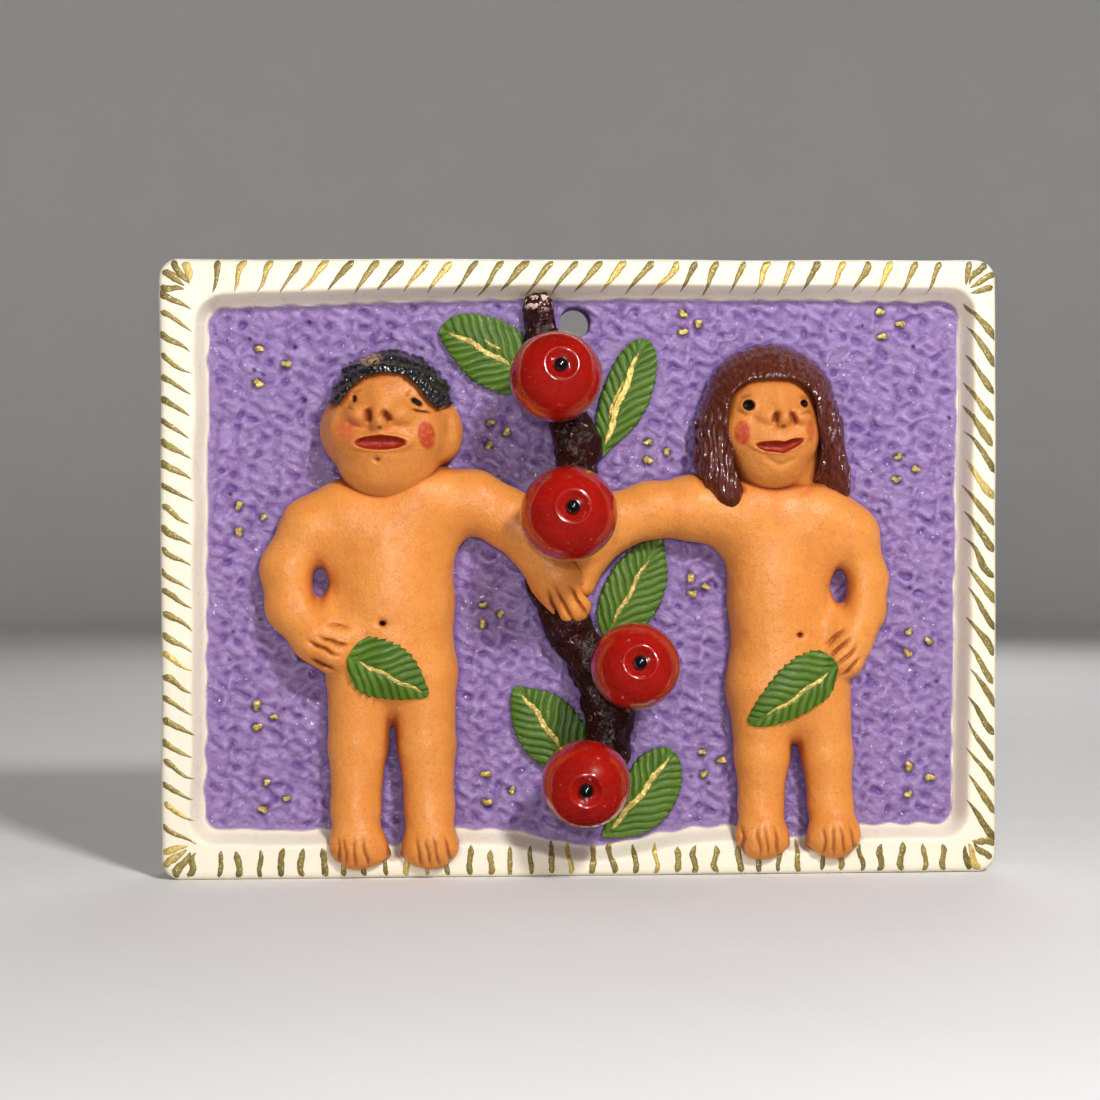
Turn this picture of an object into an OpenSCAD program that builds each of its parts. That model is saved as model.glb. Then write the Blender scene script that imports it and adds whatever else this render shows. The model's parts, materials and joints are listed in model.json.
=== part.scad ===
// Clay tree of life: a small painted relief plaque with two figures, a tree, leaves and four apples on pins
// Everything is drawn in the plaque's own face frame, x to the right, y up from the bottom edge and
// z outwards from the back, and face() turns that upright, so that the front looks along -Y.

/* [Plaque] */
// Width of the plaque
plaque_w = 190; // [180:1:210]
// Height of the plaque
plaque_h = 140; // [136:1:150]
// Thickness of the base slab
slab_t = 10; // [8:0.5:14]
// Radius of the outer corners
corner_r = 4.5; // [2:0.5:8]
// Rise of the border above the slab
border_rise = 6; // [4:0.5:7]
// Width of the border's flat front face
border_face = 7; // [5:0.5:9]
// Width of the sloping wall inside the border
border_slope = 3.5; // [1:0.5:4]

/* [Hanging hole] */
// Radius of the hole through the slab
hole_r = 3.5; // [2.5:0.1:3.5]

/* [Apples] */
// Radius of an apple
apple_r = 10.3; // [9:0.1:10.6]
// Radius of the ball that forms the dimple in an apple's front
dimple_r = 5.2; // [4:0.1:6]
// Depth of the dimple
dimple_depth = 2; // [1.5:0.1:2.4]
// Radius of a pin's shank
pin_r = 1; // [0.8:0.05:1.2]
// Radial clearance between an apple's bore and its pin
pin_clearance = 0.06; // [0.03:0.01:0.1]
// Radius of a pin's domed head
pin_head_r = 1.65; // [1.4:0.05:1.9]

/* [Clay pieces] */
// Thickness of the leaves on the tree
leaf_t = 2.6; // [1.5:0.1:3.5]
// Thickness of the fig leaves
fig_leaf_t = 1.5; // [1:0.1:2]
// Thickness of the man's hair over his head
hair_t = 1.3; // [1:0.1:2]

/* [Hidden] */

// A hair's breadth, how far a cut runs past a face, and more than the size of the whole plaque
eps = 0.01;
past = 1;
far = 400;
// Facets round a clay ball, a head, a seat, a corner or shank, a hole or dimple, and an apple
facets = 16;
head_facets = 24;
seat_facets = 24;
corner_facets = 48;
hole_facets = 64;
apple_facets = 96;
border_t = slab_t + border_rise;
// The middle of the hanging hole
hole_at = [-1, 126];
// Space behind an apple, space behind a pin's head, and how deep a pin's tail goes into the clay
apple_gap = 0.6;
pin_head_gap = 0.15;
pin_depth = 4.5;
bore_r = pin_r + pin_clearance;
// How far the figures stand out from the slab, at most, and how far off it the hair clears a face
relief_h = 24;
window_from = 5;
// A leaf's edge: its straight pieces, its teeth, their share of the width, and how far it widens to the base
leaf_steps = 22;
leaf_teeth = 6;
tooth_share = 0.05;
leaf_lean = 0.85;

// Each clay ball is [x, y, height of its centre above the slab, radius].

// The trunk, from its broken top down to its foot
TRUNK = [
    [-9.5, 127, 2, 3.9], [-8, 118, 2, 4.2], [-5.4, 109, 2, 4.2], [-0.5, 98, 2.2, 4.6], [-1.5, 88, 2.2, 4.6],
    [-7, 76, 2.2, 4.6], [-7.5, 66, 2.2, 4.6], [-3, 57, 2.2, 4.5], [3, 47.5, 2.2, 4.7], [6.3, 37, 2.2, 5],
    [5.8, 28, 2.2, 4.8], [1.6, 17, 2, 4.4]
];
// The stub of a branch, which the third apple is pinned to
BRANCH_STUB = [[3, 47.5, 2.2, 4.7], [10.8, 45.6, 2.2, 4.6]];

// Apples: [x, y, height of what is under it above the slab, tilt upwards, tilt to the right, radius as
// a share of apple_r]
APPLES = [
    [-6.2, 112.5, 6.6, 14, 5, 1],
    [-3.7, 82.3, 11.2, 9, 3, 1.04],
    [11.2, 48.5, 6.9, 9, 3, 0.965],
    [0.2, 22.5, 6.9, -4, -3, 0.965]
];

// Leaves: [base, tip, width]
LEAF_TOP_LEFT = [[-11, 113], [-31.6, 125.4], 16.5];
LEAF_TOP_RIGHT = [[4.4, 95.8], [14.2, 121.6], 14.5];
LEAF_MIDDLE_RIGHT = [[5.2, 54.2], [17.2, 76.6], 14.5];
LEAF_LOW_LEFT = [[-2.5, 25.5], [-14.4, 42.6], 15];
LEAF_LOW_RIGHT = [[5, 8.8], [20.8, 28], 15];
ADAM_FIG_LEAF = [[-52.4, 49.6], [-34.6, 41.8], 13.6];
EVE_FIG_LEAF = [[57.8, 47.6], [38, 34.2], 12.6];

ADAM_CHEST = [
    [-50, 81.5, 2, 8.3], [-37, 82, 2, 8.3], [-49, 64, 2, 8.2], [-36.6, 64, 2, 8.2], [-43, 65, 1.5, 11],
    [-50, 49, 2, 8], [-36, 49, 2, 8]
];
ADAM_CROTCH = [[-47, 46, 2, 7.5], [-39, 46, 2, 7.5], [-42.8, 41.8, 2, 6.6]];
ADAM_LEG_LEFT = [[-50.2, 44, 2.4, 7.6], [-51, 29, 2.6, 6.1], [-51.2, 14, 3.5, 5.2]];
ADAM_LEG_RIGHT = [[-35.8, 44, 2.4, 7.5], [-34.9, 29, 2.6, 6.2], [-34.5, 14, 3.5, 5.3]];
ADAM_FOOT_LEFT = [[-51.2, 14, 3.5, 5.2], [-54, 6, 8, 3.5], [-48.3, 6, 8, 3.5]];
ADAM_FOOT_RIGHT = [[-34.5, 14, 3.5, 5.3], [-37, 6, 8, 3.4], [-31.5, 6, 8, 3.4]];
ADAM_ARM_HIP = [
    [-56, 83.5, 2.4, 6.6], [-60.8, 79.5, 2.4, 7], [-65.7, 70, 2.6, 6.2], [-65.2, 61.5, 3, 6.1],
    [-59.5, 55.5, 5.5, 5.4], [-55, 51.6, 7.4, 5.4]
];
ADAM_ARM_REACH = [
    [-35, 85.8, 2.6, 7.6], [-24, 85.5, 2.6, 6.3], [-17, 82, 3.2, 6.2], [-9, 75.5, 5, 6.6],
    [-4.4, 67.5, 6, 5.9], [-2.6, 61.4, 6, 4.7]
];

EVE_CHEST = [
    [40, 81, 2, 8], [52.5, 80.5, 2, 8], [42, 63, 2, 8.1], [49, 63, 2, 8], [45.6, 64, 1.5, 10],
    [40.6, 46, 2, 8], [52.6, 45, 2, 8]
];
EVE_CROTCH = [[44, 42, 2, 7.5], [52, 41, 2, 7.5], [48.7, 35.2, 2, 6.6]];
EVE_LEG_LEFT = [[41.8, 39, 2.4, 7.2], [41.5, 25, 2.6, 5.4], [41.1, 14, 3.5, 4.7]];
EVE_LEG_RIGHT = [[54.5, 38, 2.4, 7.2], [56.3, 25, 2.6, 5], [57, 14, 3.5, 4.8]];
EVE_FOOT_LEFT = [[41.1, 14, 3.5, 4.7], [38.7, 6.8, 8, 3.4], [43.2, 6.8, 8, 3.4]];
EVE_FOOT_RIGHT = [[57, 14, 3.5, 4.8], [55.8, 7, 8, 3.4], [60.2, 7, 8, 3.4]];
EVE_ARM_HIP = [
    [57, 82, 2.4, 6.6], [61.2, 78, 2.4, 6.8], [64.6, 67, 2.6, 5.4], [64.3, 60.5, 3.2, 5.3],
    [60.6, 54, 5.5, 4.8], [58.6, 49.2, 7, 4.6]
];
EVE_ARM_REACH = [
    [37, 82.5, 2.6, 7.8], [26, 83.4, 2.6, 7], [15.5, 82.6, 3, 6.1], [7.5, 80, 3.6, 6.2],
    [-1, 78.4, 4.6, 6.4], [-0.6, 69, 4.8, 4.6]
];
EVE_HAIR_TOP = [[42.6, 110.6, 4.5, 11], [34.5, 109, 3.5, 8], [50.8, 108, 3.5, 7.6]];
EVE_LOCK_LEFT = [
    [34.5, 109, 3.5, 8], [31.4, 102, 3, 6], [31.1, 94.5, 4, 5.8], [31.8, 90.5, 5.5, 5],
    [33.5, 86.8, 7.5, 3.5]
];
EVE_LOCK_RIGHT = [[50.8, 108, 3.5, 7.6], [54, 101, 3, 5.4], [56, 94, 3.4, 4.4], [57.9, 89.4, 4.5, 3]];

// Heads: ellipsoids as [x, y, height of the centre above the slab], [three radii]
ADAM_CRANIUM = [[-43.4, 106, 6], [12.8, 12.4, 9]];
ADAM_JAW = [[-44, 97.6, 6.5], [11.8, 11.6, 8.5]];
ADAM_EAR_LEFT = [[-56, 102.2, 4.5], [3.2, 5.4, 3]];
ADAM_EAR_RIGHT = [[-30.6, 102, 4.5], [3.4, 5.4, 3]];
ADAM_FACE = [-44, 103, 9.5, 11.5];
ADAM_HAIR_ENDS = [[-60, 107.6], [-26, 106.2]];
EVE_CRANIUM = [[43.3, 105.2, 6], [10.8, 11, 8.6]];
EVE_JAW = [[43.5, 96.9, 6.5], [9.8, 9.6, 8]];
EVE_FACE = [43.3, 99.6, 10.2, 12.8];

// --- helpers ---

module face() {
    translate([0, border_t / 2, 0]) rotate([90, 0, 0]) children();
}

module above_slab() {
    intersection() {
        translate([-far / 2, -far / 2, slab_t]) cube(far);
        children();
    }
}

module ball(p, grow = 0) {
    translate([p[0], p[1], slab_t + p[2]]) sphere(p[3] + grow, $fn = facets);
}

// One lump of clay around all its balls
module lump(balls, grow = 0) {
    hull() for (p = balls) ball(p, grow);
}

// A rolled coil from ball to ball
module coil(balls, grow = 0) {
    for (i = [1 : len(balls) - 1]) lump([balls[i - 1], balls[i]], grow);
}

module egg(e, grow = 0) {
    r = e[1];
    translate([e[0][0], e[0][1], slab_t + e[0][2]])
        scale([r[0] + grow, r[1] + grow, r[2] + grow]) sphere(1, $fn = head_facets);
}

module rounded_rect(w, h, r) {
    translate([-w / 2, r]) square([w, h - 2 * r]);
    translate([-w / 2 + r, 0]) square([w - 2 * r, h]);
    for (x = [-w / 2 + r, w / 2 - r], y = [r, h - r]) translate([x, y]) circle(r, $fn = corner_facets);
}

// Half of a leaf's width, from 0 at its base to 0 at its tip, with a crenate edge
function leaf_half(t) =
    sin(180 * pow(t, leaf_lean)) * (1 + tooth_share * cos(360 * leaf_teeth * t)) / 2;

// One edge of a leaf, on side 1 or -1, without its base and tip
function leaf_edge(leaf, side) =
    let (along = leaf[1] - leaf[0], across = [-along[1], along[0]] / norm(along))
    [for (i = [1 : leaf_steps - 1]) let (t = i / leaf_steps)
        leaf[0] + along * t + side * across * leaf[2] * leaf_half(t)];

module leaf_outline(leaf) {
    there = leaf_edge(leaf, 1);
    back = leaf_edge(leaf, -1);
    polygon(concat([leaf[0]], there, [leaf[1]], [for (i = [len(back) - 1 : -1 : 0]) back[i]]));
}

// --- plaque ---

module base_slab() {
    color("rebeccapurple") difference() {
        linear_extrude(slab_t) rounded_rect(plaque_w, plaque_h, corner_r);
        translate([hole_at[0], hole_at[1], -past])
            cylinder(h = slab_t + 2 * past, r = hole_r, $fn = hole_facets);
    }
}

module recess() {
    inner = border_face + border_slope;
    hull() {
        translate([0, inner, slab_t - eps]) linear_extrude(eps)
            rounded_rect(plaque_w - 2 * inner, plaque_h - 2 * inner, corner_r / 2);
        translate([0, border_face, border_t]) linear_extrude(past)
            rounded_rect(plaque_w - 2 * border_face, plaque_h - 2 * border_face, corner_r);
    }
}

module raised_border() {
    color("ivory") difference() {
        translate([0, 0, slab_t]) linear_extrude(border_rise) rounded_rect(plaque_w, plaque_h, corner_r);
        recess();
    }
}

// What the border fills, as a plain block that the feet stand on
module border_block() {
    difference() {
        translate([-plaque_w / 2, 0, 0]) cube([plaque_w, plaque_h, border_t]);
        recess();
    }
}

// --- apples and their pins ---

function apple_radius(n) = apple_r * APPLES[n - 1][5];

module at_apple(n) {
    a = APPLES[n - 1];
    middle_h = a[2] + apple_gap + apple_radius(n);
    translate([a[0], a[1], slab_t + middle_h]) rotate([-a[3], a[4], 0]) children();
}

module apple(n) {
    r = apple_radius(n);
    color("firebrick") at_apple(n) difference() {
        sphere(r, $fn = apple_facets);
        translate([0, 0, r - dimple_depth + dimple_r]) sphere(dimple_r, $fn = hole_facets);
        translate([0, 0, -r - past]) cylinder(h = 2 * (r + past), r = bore_r, $fn = corner_facets);
    }
}

// The head stands just clear of the dimple, and the shank ends inside the clay behind the apple
module apple_pin(n) {
    dimple_at = apple_radius(n) - dimple_depth + dimple_r;
    rim_at = dimple_at - sqrt(pow(dimple_r, 2) - pow(pin_head_r, 2));
    head_at = rim_at + pin_head_gap;
    color("black") at_apple(n) {
        intersection() {
            translate([0, 0, head_at]) sphere(pin_head_r, $fn = corner_facets);
            translate([-far / 2, -far / 2, head_at]) cube(far);
        }
        pin_shank(n, head_at + pin_head_r / 2, pin_r, corner_facets);
    }
}

module pin_shank(n, top, r, sides) {
    tail = apple_radius(n) + apple_gap + pin_depth;
    translate([0, 0, -tail]) cylinder(h = tail + top, r = r, $fn = sides);
}

// The seat that a pin's tail leaves in the clay, as flats that just clear it
module pin_seat(n) {
    at_apple(n) pin_shank(n, 0, (pin_r + eps) / cos(180 / seat_facets), seat_facets);
}

// --- tree ---

module trunk_shape() {
    above_slab() {
        coil(TRUNK);
        coil(BRANCH_STUB);
    }
}

module tree_trunk() {
    color("saddlebrown") difference() {
        trunk_shape();
        for (n = [1 : len(APPLES)]) pin_seat(n);
        adam_arm_reach_shape();
        eve_arm_reach_shape();
    }
}

module tree_leaf(leaf) {
    color("forestgreen") difference() {
        translate([0, 0, slab_t]) linear_extrude(leaf_t) leaf_outline(leaf);
        trunk_shape();
        adam_arm_reach_shape();
        eve_arm_reach_shape();
        border_block();
    }
}

// --- figures ---

module fig_leaf(leaf) {
    color("forestgreen") difference() {
        intersection() {
            translate([0, 0, slab_t]) linear_extrude(relief_h) leaf_outline(leaf);
            children(0);
        }
        children(1);
    }
}

module adam_torso_shape(grow = 0) {
    lump(ADAM_CHEST, grow);
    lump(ADAM_CROTCH, grow);
    coil(ADAM_LEG_LEFT, grow);
    coil(ADAM_LEG_RIGHT, grow);
    lump(ADAM_FOOT_LEFT, grow);
    lump(ADAM_FOOT_RIGHT, grow);
}

module adam_arm_reach_shape() {
    coil(ADAM_ARM_REACH);
}

module adam_head_shape(grow = 0) {
    hull() {
        egg(ADAM_CRANIUM, grow);
        egg(ADAM_JAW, grow);
    }
}

module adam_torso() {
    color("sandybrown") above_slab() difference() {
        adam_torso_shape();
        border_block();
    }
}

module adam_arm_on_hip() {
    color("sandybrown") above_slab() difference() {
        coil(ADAM_ARM_HIP);
        adam_torso_shape();
    }
}

module adam_arm_reaching() {
    color("sandybrown") above_slab() difference() {
        adam_arm_reach_shape();
        adam_torso_shape();
        pin_seat(2);
    }
}

module adam_head() {
    color("sandybrown") above_slab() difference() {
        union() {
            adam_head_shape();
            egg(ADAM_EAR_LEFT);
            egg(ADAM_EAR_RIGHT);
        }
        adam_torso_shape();
        coil(ADAM_ARM_HIP);
        adam_arm_reach_shape();
    }
}

module adam_hair() {
    color("black") above_slab() difference() {
        adam_head_shape(hair_t);
        adam_head_shape();
        egg(ADAM_EAR_LEFT);
        egg(ADAM_EAR_RIGHT);
        face_window(ADAM_FACE);
        linear_extrude(far)
            polygon(concat(ADAM_HAIR_ENDS, [[ADAM_HAIR_ENDS[1][0], 0], [ADAM_HAIR_ENDS[0][0], 0]]));
    }
}

// The space in front of a face that hair leaves clear
module face_window(w) {
    translate([w[0], w[1], slab_t + window_from])
        linear_extrude(far) scale([w[2], w[3]]) circle(1, $fn = corner_facets);
}

module adam_fig_leaf() {
    fig_leaf(ADAM_FIG_LEAF) {
        adam_torso_shape(fig_leaf_t);
        union() {
            adam_torso_shape();
            coil(ADAM_ARM_HIP);
        }
    }
}

module eve_torso_shape(grow = 0) {
    lump(EVE_CHEST, grow);
    lump(EVE_CROTCH, grow);
    coil(EVE_LEG_LEFT, grow);
    coil(EVE_LEG_RIGHT, grow);
    lump(EVE_FOOT_LEFT, grow);
    lump(EVE_FOOT_RIGHT, grow);
}

module eve_arm_reach_shape() {
    coil(EVE_ARM_REACH);
}

module eve_head_shape() {
    hull() {
        egg(EVE_CRANIUM);
        egg(EVE_JAW);
    }
}

module eve_torso() {
    color("sandybrown") above_slab() difference() {
        eve_torso_shape();
        border_block();
    }
}

module eve_arm_on_hip() {
    color("sandybrown") above_slab() difference() {
        coil(EVE_ARM_HIP);
        eve_torso_shape();
    }
}

module eve_arm_reaching() {
    color("sandybrown") above_slab() difference() {
        eve_arm_reach_shape();
        eve_torso_shape();
        adam_arm_reach_shape();
        pin_seat(2);
    }
}

module eve_head() {
    color("sandybrown") above_slab() difference() {
        eve_head_shape();
        eve_torso_shape();
        eve_arm_reach_shape();
    }
}

module eve_hair() {
    color("saddlebrown") above_slab() difference() {
        union() {
            lump(EVE_HAIR_TOP);
            coil(EVE_LOCK_LEFT);
            coil(EVE_LOCK_RIGHT);
        }
        eve_head_shape();
        face_window(EVE_FACE);
        eve_torso_shape();
        eve_arm_reach_shape();
        coil(EVE_ARM_HIP);
    }
}

module eve_fig_leaf() {
    fig_leaf(EVE_FIG_LEAF) {
        eve_torso_shape(fig_leaf_t);
        union() {
            eve_torso_shape();
            coil(EVE_ARM_HIP);
        }
    }
}

face() base_slab();
face() raised_border();
face() tree_trunk();
face() tree_leaf(LEAF_TOP_LEFT);  // leaf_top_left
face() tree_leaf(LEAF_TOP_RIGHT);  // leaf_top_right
face() tree_leaf(LEAF_MIDDLE_RIGHT);  // leaf_middle_right
face() tree_leaf(LEAF_LOW_LEFT);  // leaf_low_left
face() tree_leaf(LEAF_LOW_RIGHT);  // leaf_low_right
for (n = [1 : len(APPLES)]) {
    face() apple(n);
    face() apple_pin(n);
}
face() adam_torso();
face() adam_arm_on_hip();
face() adam_arm_reaching();
face() adam_head();
face() adam_hair();
face() adam_fig_leaf();
face() eve_torso();
face() eve_arm_on_hip();
face() eve_arm_reaching();
face() eve_head();
face() eve_hair();
face() eve_fig_leaf();
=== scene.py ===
import json
import math
from collections import namedtuple

import bpy
import numpy as np
import openvdb
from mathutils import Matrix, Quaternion, Vector


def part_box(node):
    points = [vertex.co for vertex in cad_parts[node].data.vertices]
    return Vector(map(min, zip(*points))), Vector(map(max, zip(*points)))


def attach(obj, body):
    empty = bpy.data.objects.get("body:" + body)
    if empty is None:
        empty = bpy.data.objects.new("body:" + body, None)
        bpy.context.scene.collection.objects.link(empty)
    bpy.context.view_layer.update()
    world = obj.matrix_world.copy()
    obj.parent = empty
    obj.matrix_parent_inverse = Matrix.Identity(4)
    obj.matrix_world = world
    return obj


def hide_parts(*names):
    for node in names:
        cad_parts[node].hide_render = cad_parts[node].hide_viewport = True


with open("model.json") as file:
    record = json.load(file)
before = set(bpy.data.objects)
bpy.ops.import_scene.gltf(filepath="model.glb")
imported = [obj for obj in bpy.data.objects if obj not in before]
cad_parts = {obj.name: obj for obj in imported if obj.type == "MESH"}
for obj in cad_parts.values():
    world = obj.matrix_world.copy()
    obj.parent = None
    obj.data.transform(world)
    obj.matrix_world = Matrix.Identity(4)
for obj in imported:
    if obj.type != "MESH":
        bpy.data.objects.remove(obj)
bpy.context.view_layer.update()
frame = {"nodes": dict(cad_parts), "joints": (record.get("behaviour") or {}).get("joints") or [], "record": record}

# Clay shapes are distance fields in the plaque's face frame, in millimetres: x to the right, z up from the
# bottom edge and h outwards from the recess floor, negative inside the clay. sculpt() makes them meshes.

MM = 0.001

# The plaque's measures from the frame: BACK and RISE are where its back and the border's front are in h
SLAB_LOW, SLAB_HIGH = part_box("base_slab")
FLOOR_Y = SLAB_LOW.y
HALF_WIDTH = SLAB_HIGH.x / MM
HEIGHT = SLAB_HIGH.z / MM
BACK = (FLOOR_Y - SLAB_HIGH.y) / MM
RISE = (FLOOR_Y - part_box("raised_border")[0].y) / MM
HANGING_HOLE = frame["record"]["mounts"][2]
CORNER = 4.5

# The recess: half its width, where its floor starts and ends, its corner and the run of its sloping wall
RECESS_HALF, RECESS_LOW, RECESS_HIGH = HALF_WIDTH - 9.3, 9.6, HEIGHT - 8.7
RECESS_CORNER, SLOPE = 3.5, 3

# How far the plaque's outline stands in from its box, how wavy the clay is, how round its front and back
# edges and the hole's mouth are, and how far the border laps down over the slab's sides
INSET, WAVY, FRONT_ROUND, BACK_ROUND, HOLE_ROUND, LAP = 0.2, 0.12, 2.2, 1.6, 0.8, 2.4

Points = namedtuple("Points", "x z h")


# --- distance fields ---

def smooth_min(a, b, blend):
    near = np.maximum(blend - np.abs(a - b), 0) / blend
    return np.minimum(a, b) - near * near * blend / 4


def smooth_max(a, b, blend):
    return -smooth_min(-a, -b, blend)


def merge(fields, blend):
    total = fields[0]
    for field in fields[1:]:
        total = smooth_min(total, field, blend)
    return total


def egg(p, centre, radii):
    x, z, h = (c - m for c, m in zip(p, centre))
    a, b, c = radii
    near = np.sqrt((x / a) ** 2 + (z / b) ** 2 + (h / c) ** 2)
    slope = np.sqrt((x / a**2) ** 2 + (z / b**2) ** 2 + (h / c**2) ** 2)
    return near * (near - 1) / np.maximum(slope, 1e-6)


def eggs(p, blend, *measures):
    return merge([egg(p, centre, radii) for centre, radii in measures], blend)


def rod(p, start, end):
    """A rounded cone between two balls, each x, z, h and radius."""
    along = np.subtract(end[:3], start[:3])
    x, z, h = (c - s for c, s in zip(p, start))
    t = (x * along[0] + z * along[1] + h * along[2]) / (along @ along)
    t = np.clip(t, 0, 1)
    gap = np.sqrt((x - t * along[0]) ** 2 + (z - t * along[1]) ** 2 + (h - t * along[2]) ** 2)
    return gap - start[3] - (end[3] - start[3]) * t


def coil(p, balls, blend=2.5):
    return merge([rod(p, a, b) for a, b in zip(balls, balls[1:])], blend)


def groove(p, start, end, width):
    """1 along the middle of a line across the face, fading out past its sides and towards its ends."""
    dx, dz = end[0] - start[0], end[1] - start[1]
    length = math.hypot(dx, dz)
    x, z = p.x - (start[0] + end[0]) / 2, p.z - (start[1] + end[1]) / 2
    along, across = (x * dx + z * dz) / length, (x * dz - z * dx) / length
    return np.exp(-((across / width) ** 2) - (1.8 * along / length) ** 4)


def carve(p, field, lines, width, depth):
    """Presses grooves into the front of a field, along lines across the face."""
    for start, end in lines:
        field = field + depth * groove(p, start, end, width)
    return field


def unsteady(p):
    """The face with its lines bent a little, as a hand draws them."""
    right, up = lumps(p, 2.6, 61, flat=True), lumps(p, 2.3, 62, flat=True)
    return Points(p.x + 0.15 * right, p.z + 0.15 * up, p.h)


# How softly the balls of a leg run together, and those of an arm
LEG_BLEND, ARM_BLEND = 1.6, 2.4


def part_fingers(p, field, lines):
    """Fingers or toes: deep thin grooves with the clay rounded down to them."""
    p = unsteady(p)
    return carve(p, carve(p, field, lines, 1.15, 0.45), lines, 0.36, 0.95)


def spot(p, x, z, half_x, half_z, turn=0.0):
    """0 at the middle of an oval on the face, 1 on its edge."""
    c, s = math.cos(math.radians(turn)), math.sin(math.radians(turn))
    across, up = (p.x - x) * c + (p.z - z) * s, (p.z - z) * c - (p.x - x) * s
    return np.hypot(across / half_x, up / half_z)


def inside(gap, soft=0.15):
    """1 where gap is well under 1, and 0 where it's well over."""
    return np.clip((1 - gap) / soft + 0.5, 0, 1)


def lumps(p, size, seed, flat=False):
    """Smooth noise from about -1 to 1, with bumps about size across; flat noise doesn't change with h."""
    rng = np.random.default_rng(seed)
    total = 0
    for _ in range(8):
        wave = rng.normal(size=3)
        wave *= rng.uniform(0.7, 1.3) * math.pi / size / np.linalg.norm(wave[: 2 if flat else 3])
        turn = wave[0] * p.x + wave[1] * p.z + rng.uniform(0, 2 * math.pi)
        total = total + np.sin(turn if flat else turn + wave[2] * p.h)
    return total / 3


def moved(p, dx, dz):
    """The places that end up at p when a shape moves by dx and dz."""
    return Points(p.x - dx, p.z - dz, p.h)


def rounded_rect(p, half, low, high, corner):
    x = np.abs(p.x) - half + corner
    z = np.abs(p.z - (low + high) / 2) - (high - low) / 2 + corner
    return np.hypot(np.maximum(x, 0), np.maximum(z, 0)) + np.minimum(np.maximum(x, z), 0) - corner


# --- what stands on the ground ---

# A leaf's place on the face, its half widths to the left and right at LEAF_SHARES of its length, how far
# left of the middle its rib runs, how high it stands, and its streaks of gold and how bright they are
Leaf = namedtuple("Leaf", "node base tip left right rib lift gold shine")
LEAF_SHARES = (0.05, 0.18, 0.35, 0.55, 0.75, 0.9)
PLEAT_PITCH, TOOTH_PITCH = 2.5, 1.7
TREE_LEAVES = [
    Leaf(
        "leaf_top_left", (-12.2, 112.8), (-32, 124.3), (4.7, 5.8, 6.4, 6.1, 4, 2.2),
        (4, 7.8, 9.2, 9, 7.4, 5.6), -0.9, 0.9, [(0.2, 0.9, 0, 1.2), (0.37, 0.56, -2.1, 0.7)], 0.6,
    ),
    Leaf(
        "leaf_top_right", (5.2, 95.2), (15.2, 122.1), (1.3, 3.9, 5, 5.3, 5, 3.7),
        (0.6, 2.5, 5.1, 5.8, 5.2, 3.9), 0.8, 0.9, [(0.1, 0.87, 0, 1.4), (0.3, 0.62, 1.1, 0.6)], 1,
    ),
    Leaf(
        "leaf_middle_right", (5.9, 54), (18.5, 76.6), (2.9, 5, 6.2, 6.4, 5.1, 2.8),
        (2, 5.8, 7.3, 7.1, 5.6, 2.4), 0.3, 0.9, [(0.14, 0.78, 0, 1)], 0.6,
    ),
    Leaf(
        "leaf_low_left", (-3, 24.9), (-15.1, 42.7), (3.7, 5.5, 6.3, 6.2, 4.6, 2.5),
        (4.8, 8, 8.6, 8.1, 6.2, 2.5), -0.8, 0.9, [(0.21, 0.89, 0, 1.25)], 0.7,
    ),
    Leaf(
        "leaf_low_right", (4.7, 8.5), (20.9, 28.2), (0.5, 1.7, 2.6, 4.1, 5.1, 3.3),
        (2.1, 5.8, 8.5, 8.9, 7.6, 5.3), -0.8, 0.9, [(0.1, 0.93, 0, 1.3)], 0.8,
    ),
]
FIG_LEAVES = [
    Leaf(
        "adam_fig_leaf", (-52.5, 50.6), (-34.7, 41.6), (5.1, 6.7, 7.2, 7.3, 5.2, 2.4),
        (2.2, 5.4, 6.4, 5.1, 3.6, 1.6), 0, 0.5, [(0.14, 0.93, 0, 0.9)], 0.8,
    ),
    Leaf(
        "eve_fig_leaf", (57.3, 48.4), (37.5, 34.7), (1.7, 5, 5.5, 5.3, 4.2, 2.3),
        (4.4, 6, 6.7, 5.7, 4, 2.2), 0.9, 0.5, [(0.12, 0.82, 0, 0.9)], 0.8,
    ),
]

# The middle of each group of three gold dots on the ground, its turn, and how far out its dots are
DOT_GROUPS = [
    (-75.8, 81.6, 116, 3.4), (-72.6, 36.2, 0, 2.7), (-71.1, 116.1, 118, 4), (-70.2, 17.8, 112, 3.4),
    (-20, 19.4, 0, 3.8), (-20.7, 59.3, 0, 2.5), (-19.4, 100.7, 0, 2.9), (17.1, 96.5, 0, 2.8),
    (25, 125.8, 117, 2.3), (26.6, 65.6, 0, 2.2), (29.7, 25.2, 0, 2.8), (74.4, 92.6, 0, 3),
    (70.9, 125.7, 0, 3.1), (77.6, 20.7, 0, 3.5), (77.4, 52.6, 0, 3),
]


def dot_places():
    """Each dot's x and z on the ground, and its size."""
    rng = np.random.default_rng(9)
    places = []
    for x, z, turn, reach in DOT_GROUPS:
        for third in range(3):
            angle = math.radians(turn + 120 * third + rng.uniform(-8, 8))
            out = reach * rng.uniform(0.88, 1.12)
            size = rng.uniform(0.95, 1.3)
            places.append((x + out * math.cos(angle), z + out * math.sin(angle), size))
    return places


DOTS = dot_places()


# --- the plaque ---

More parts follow.
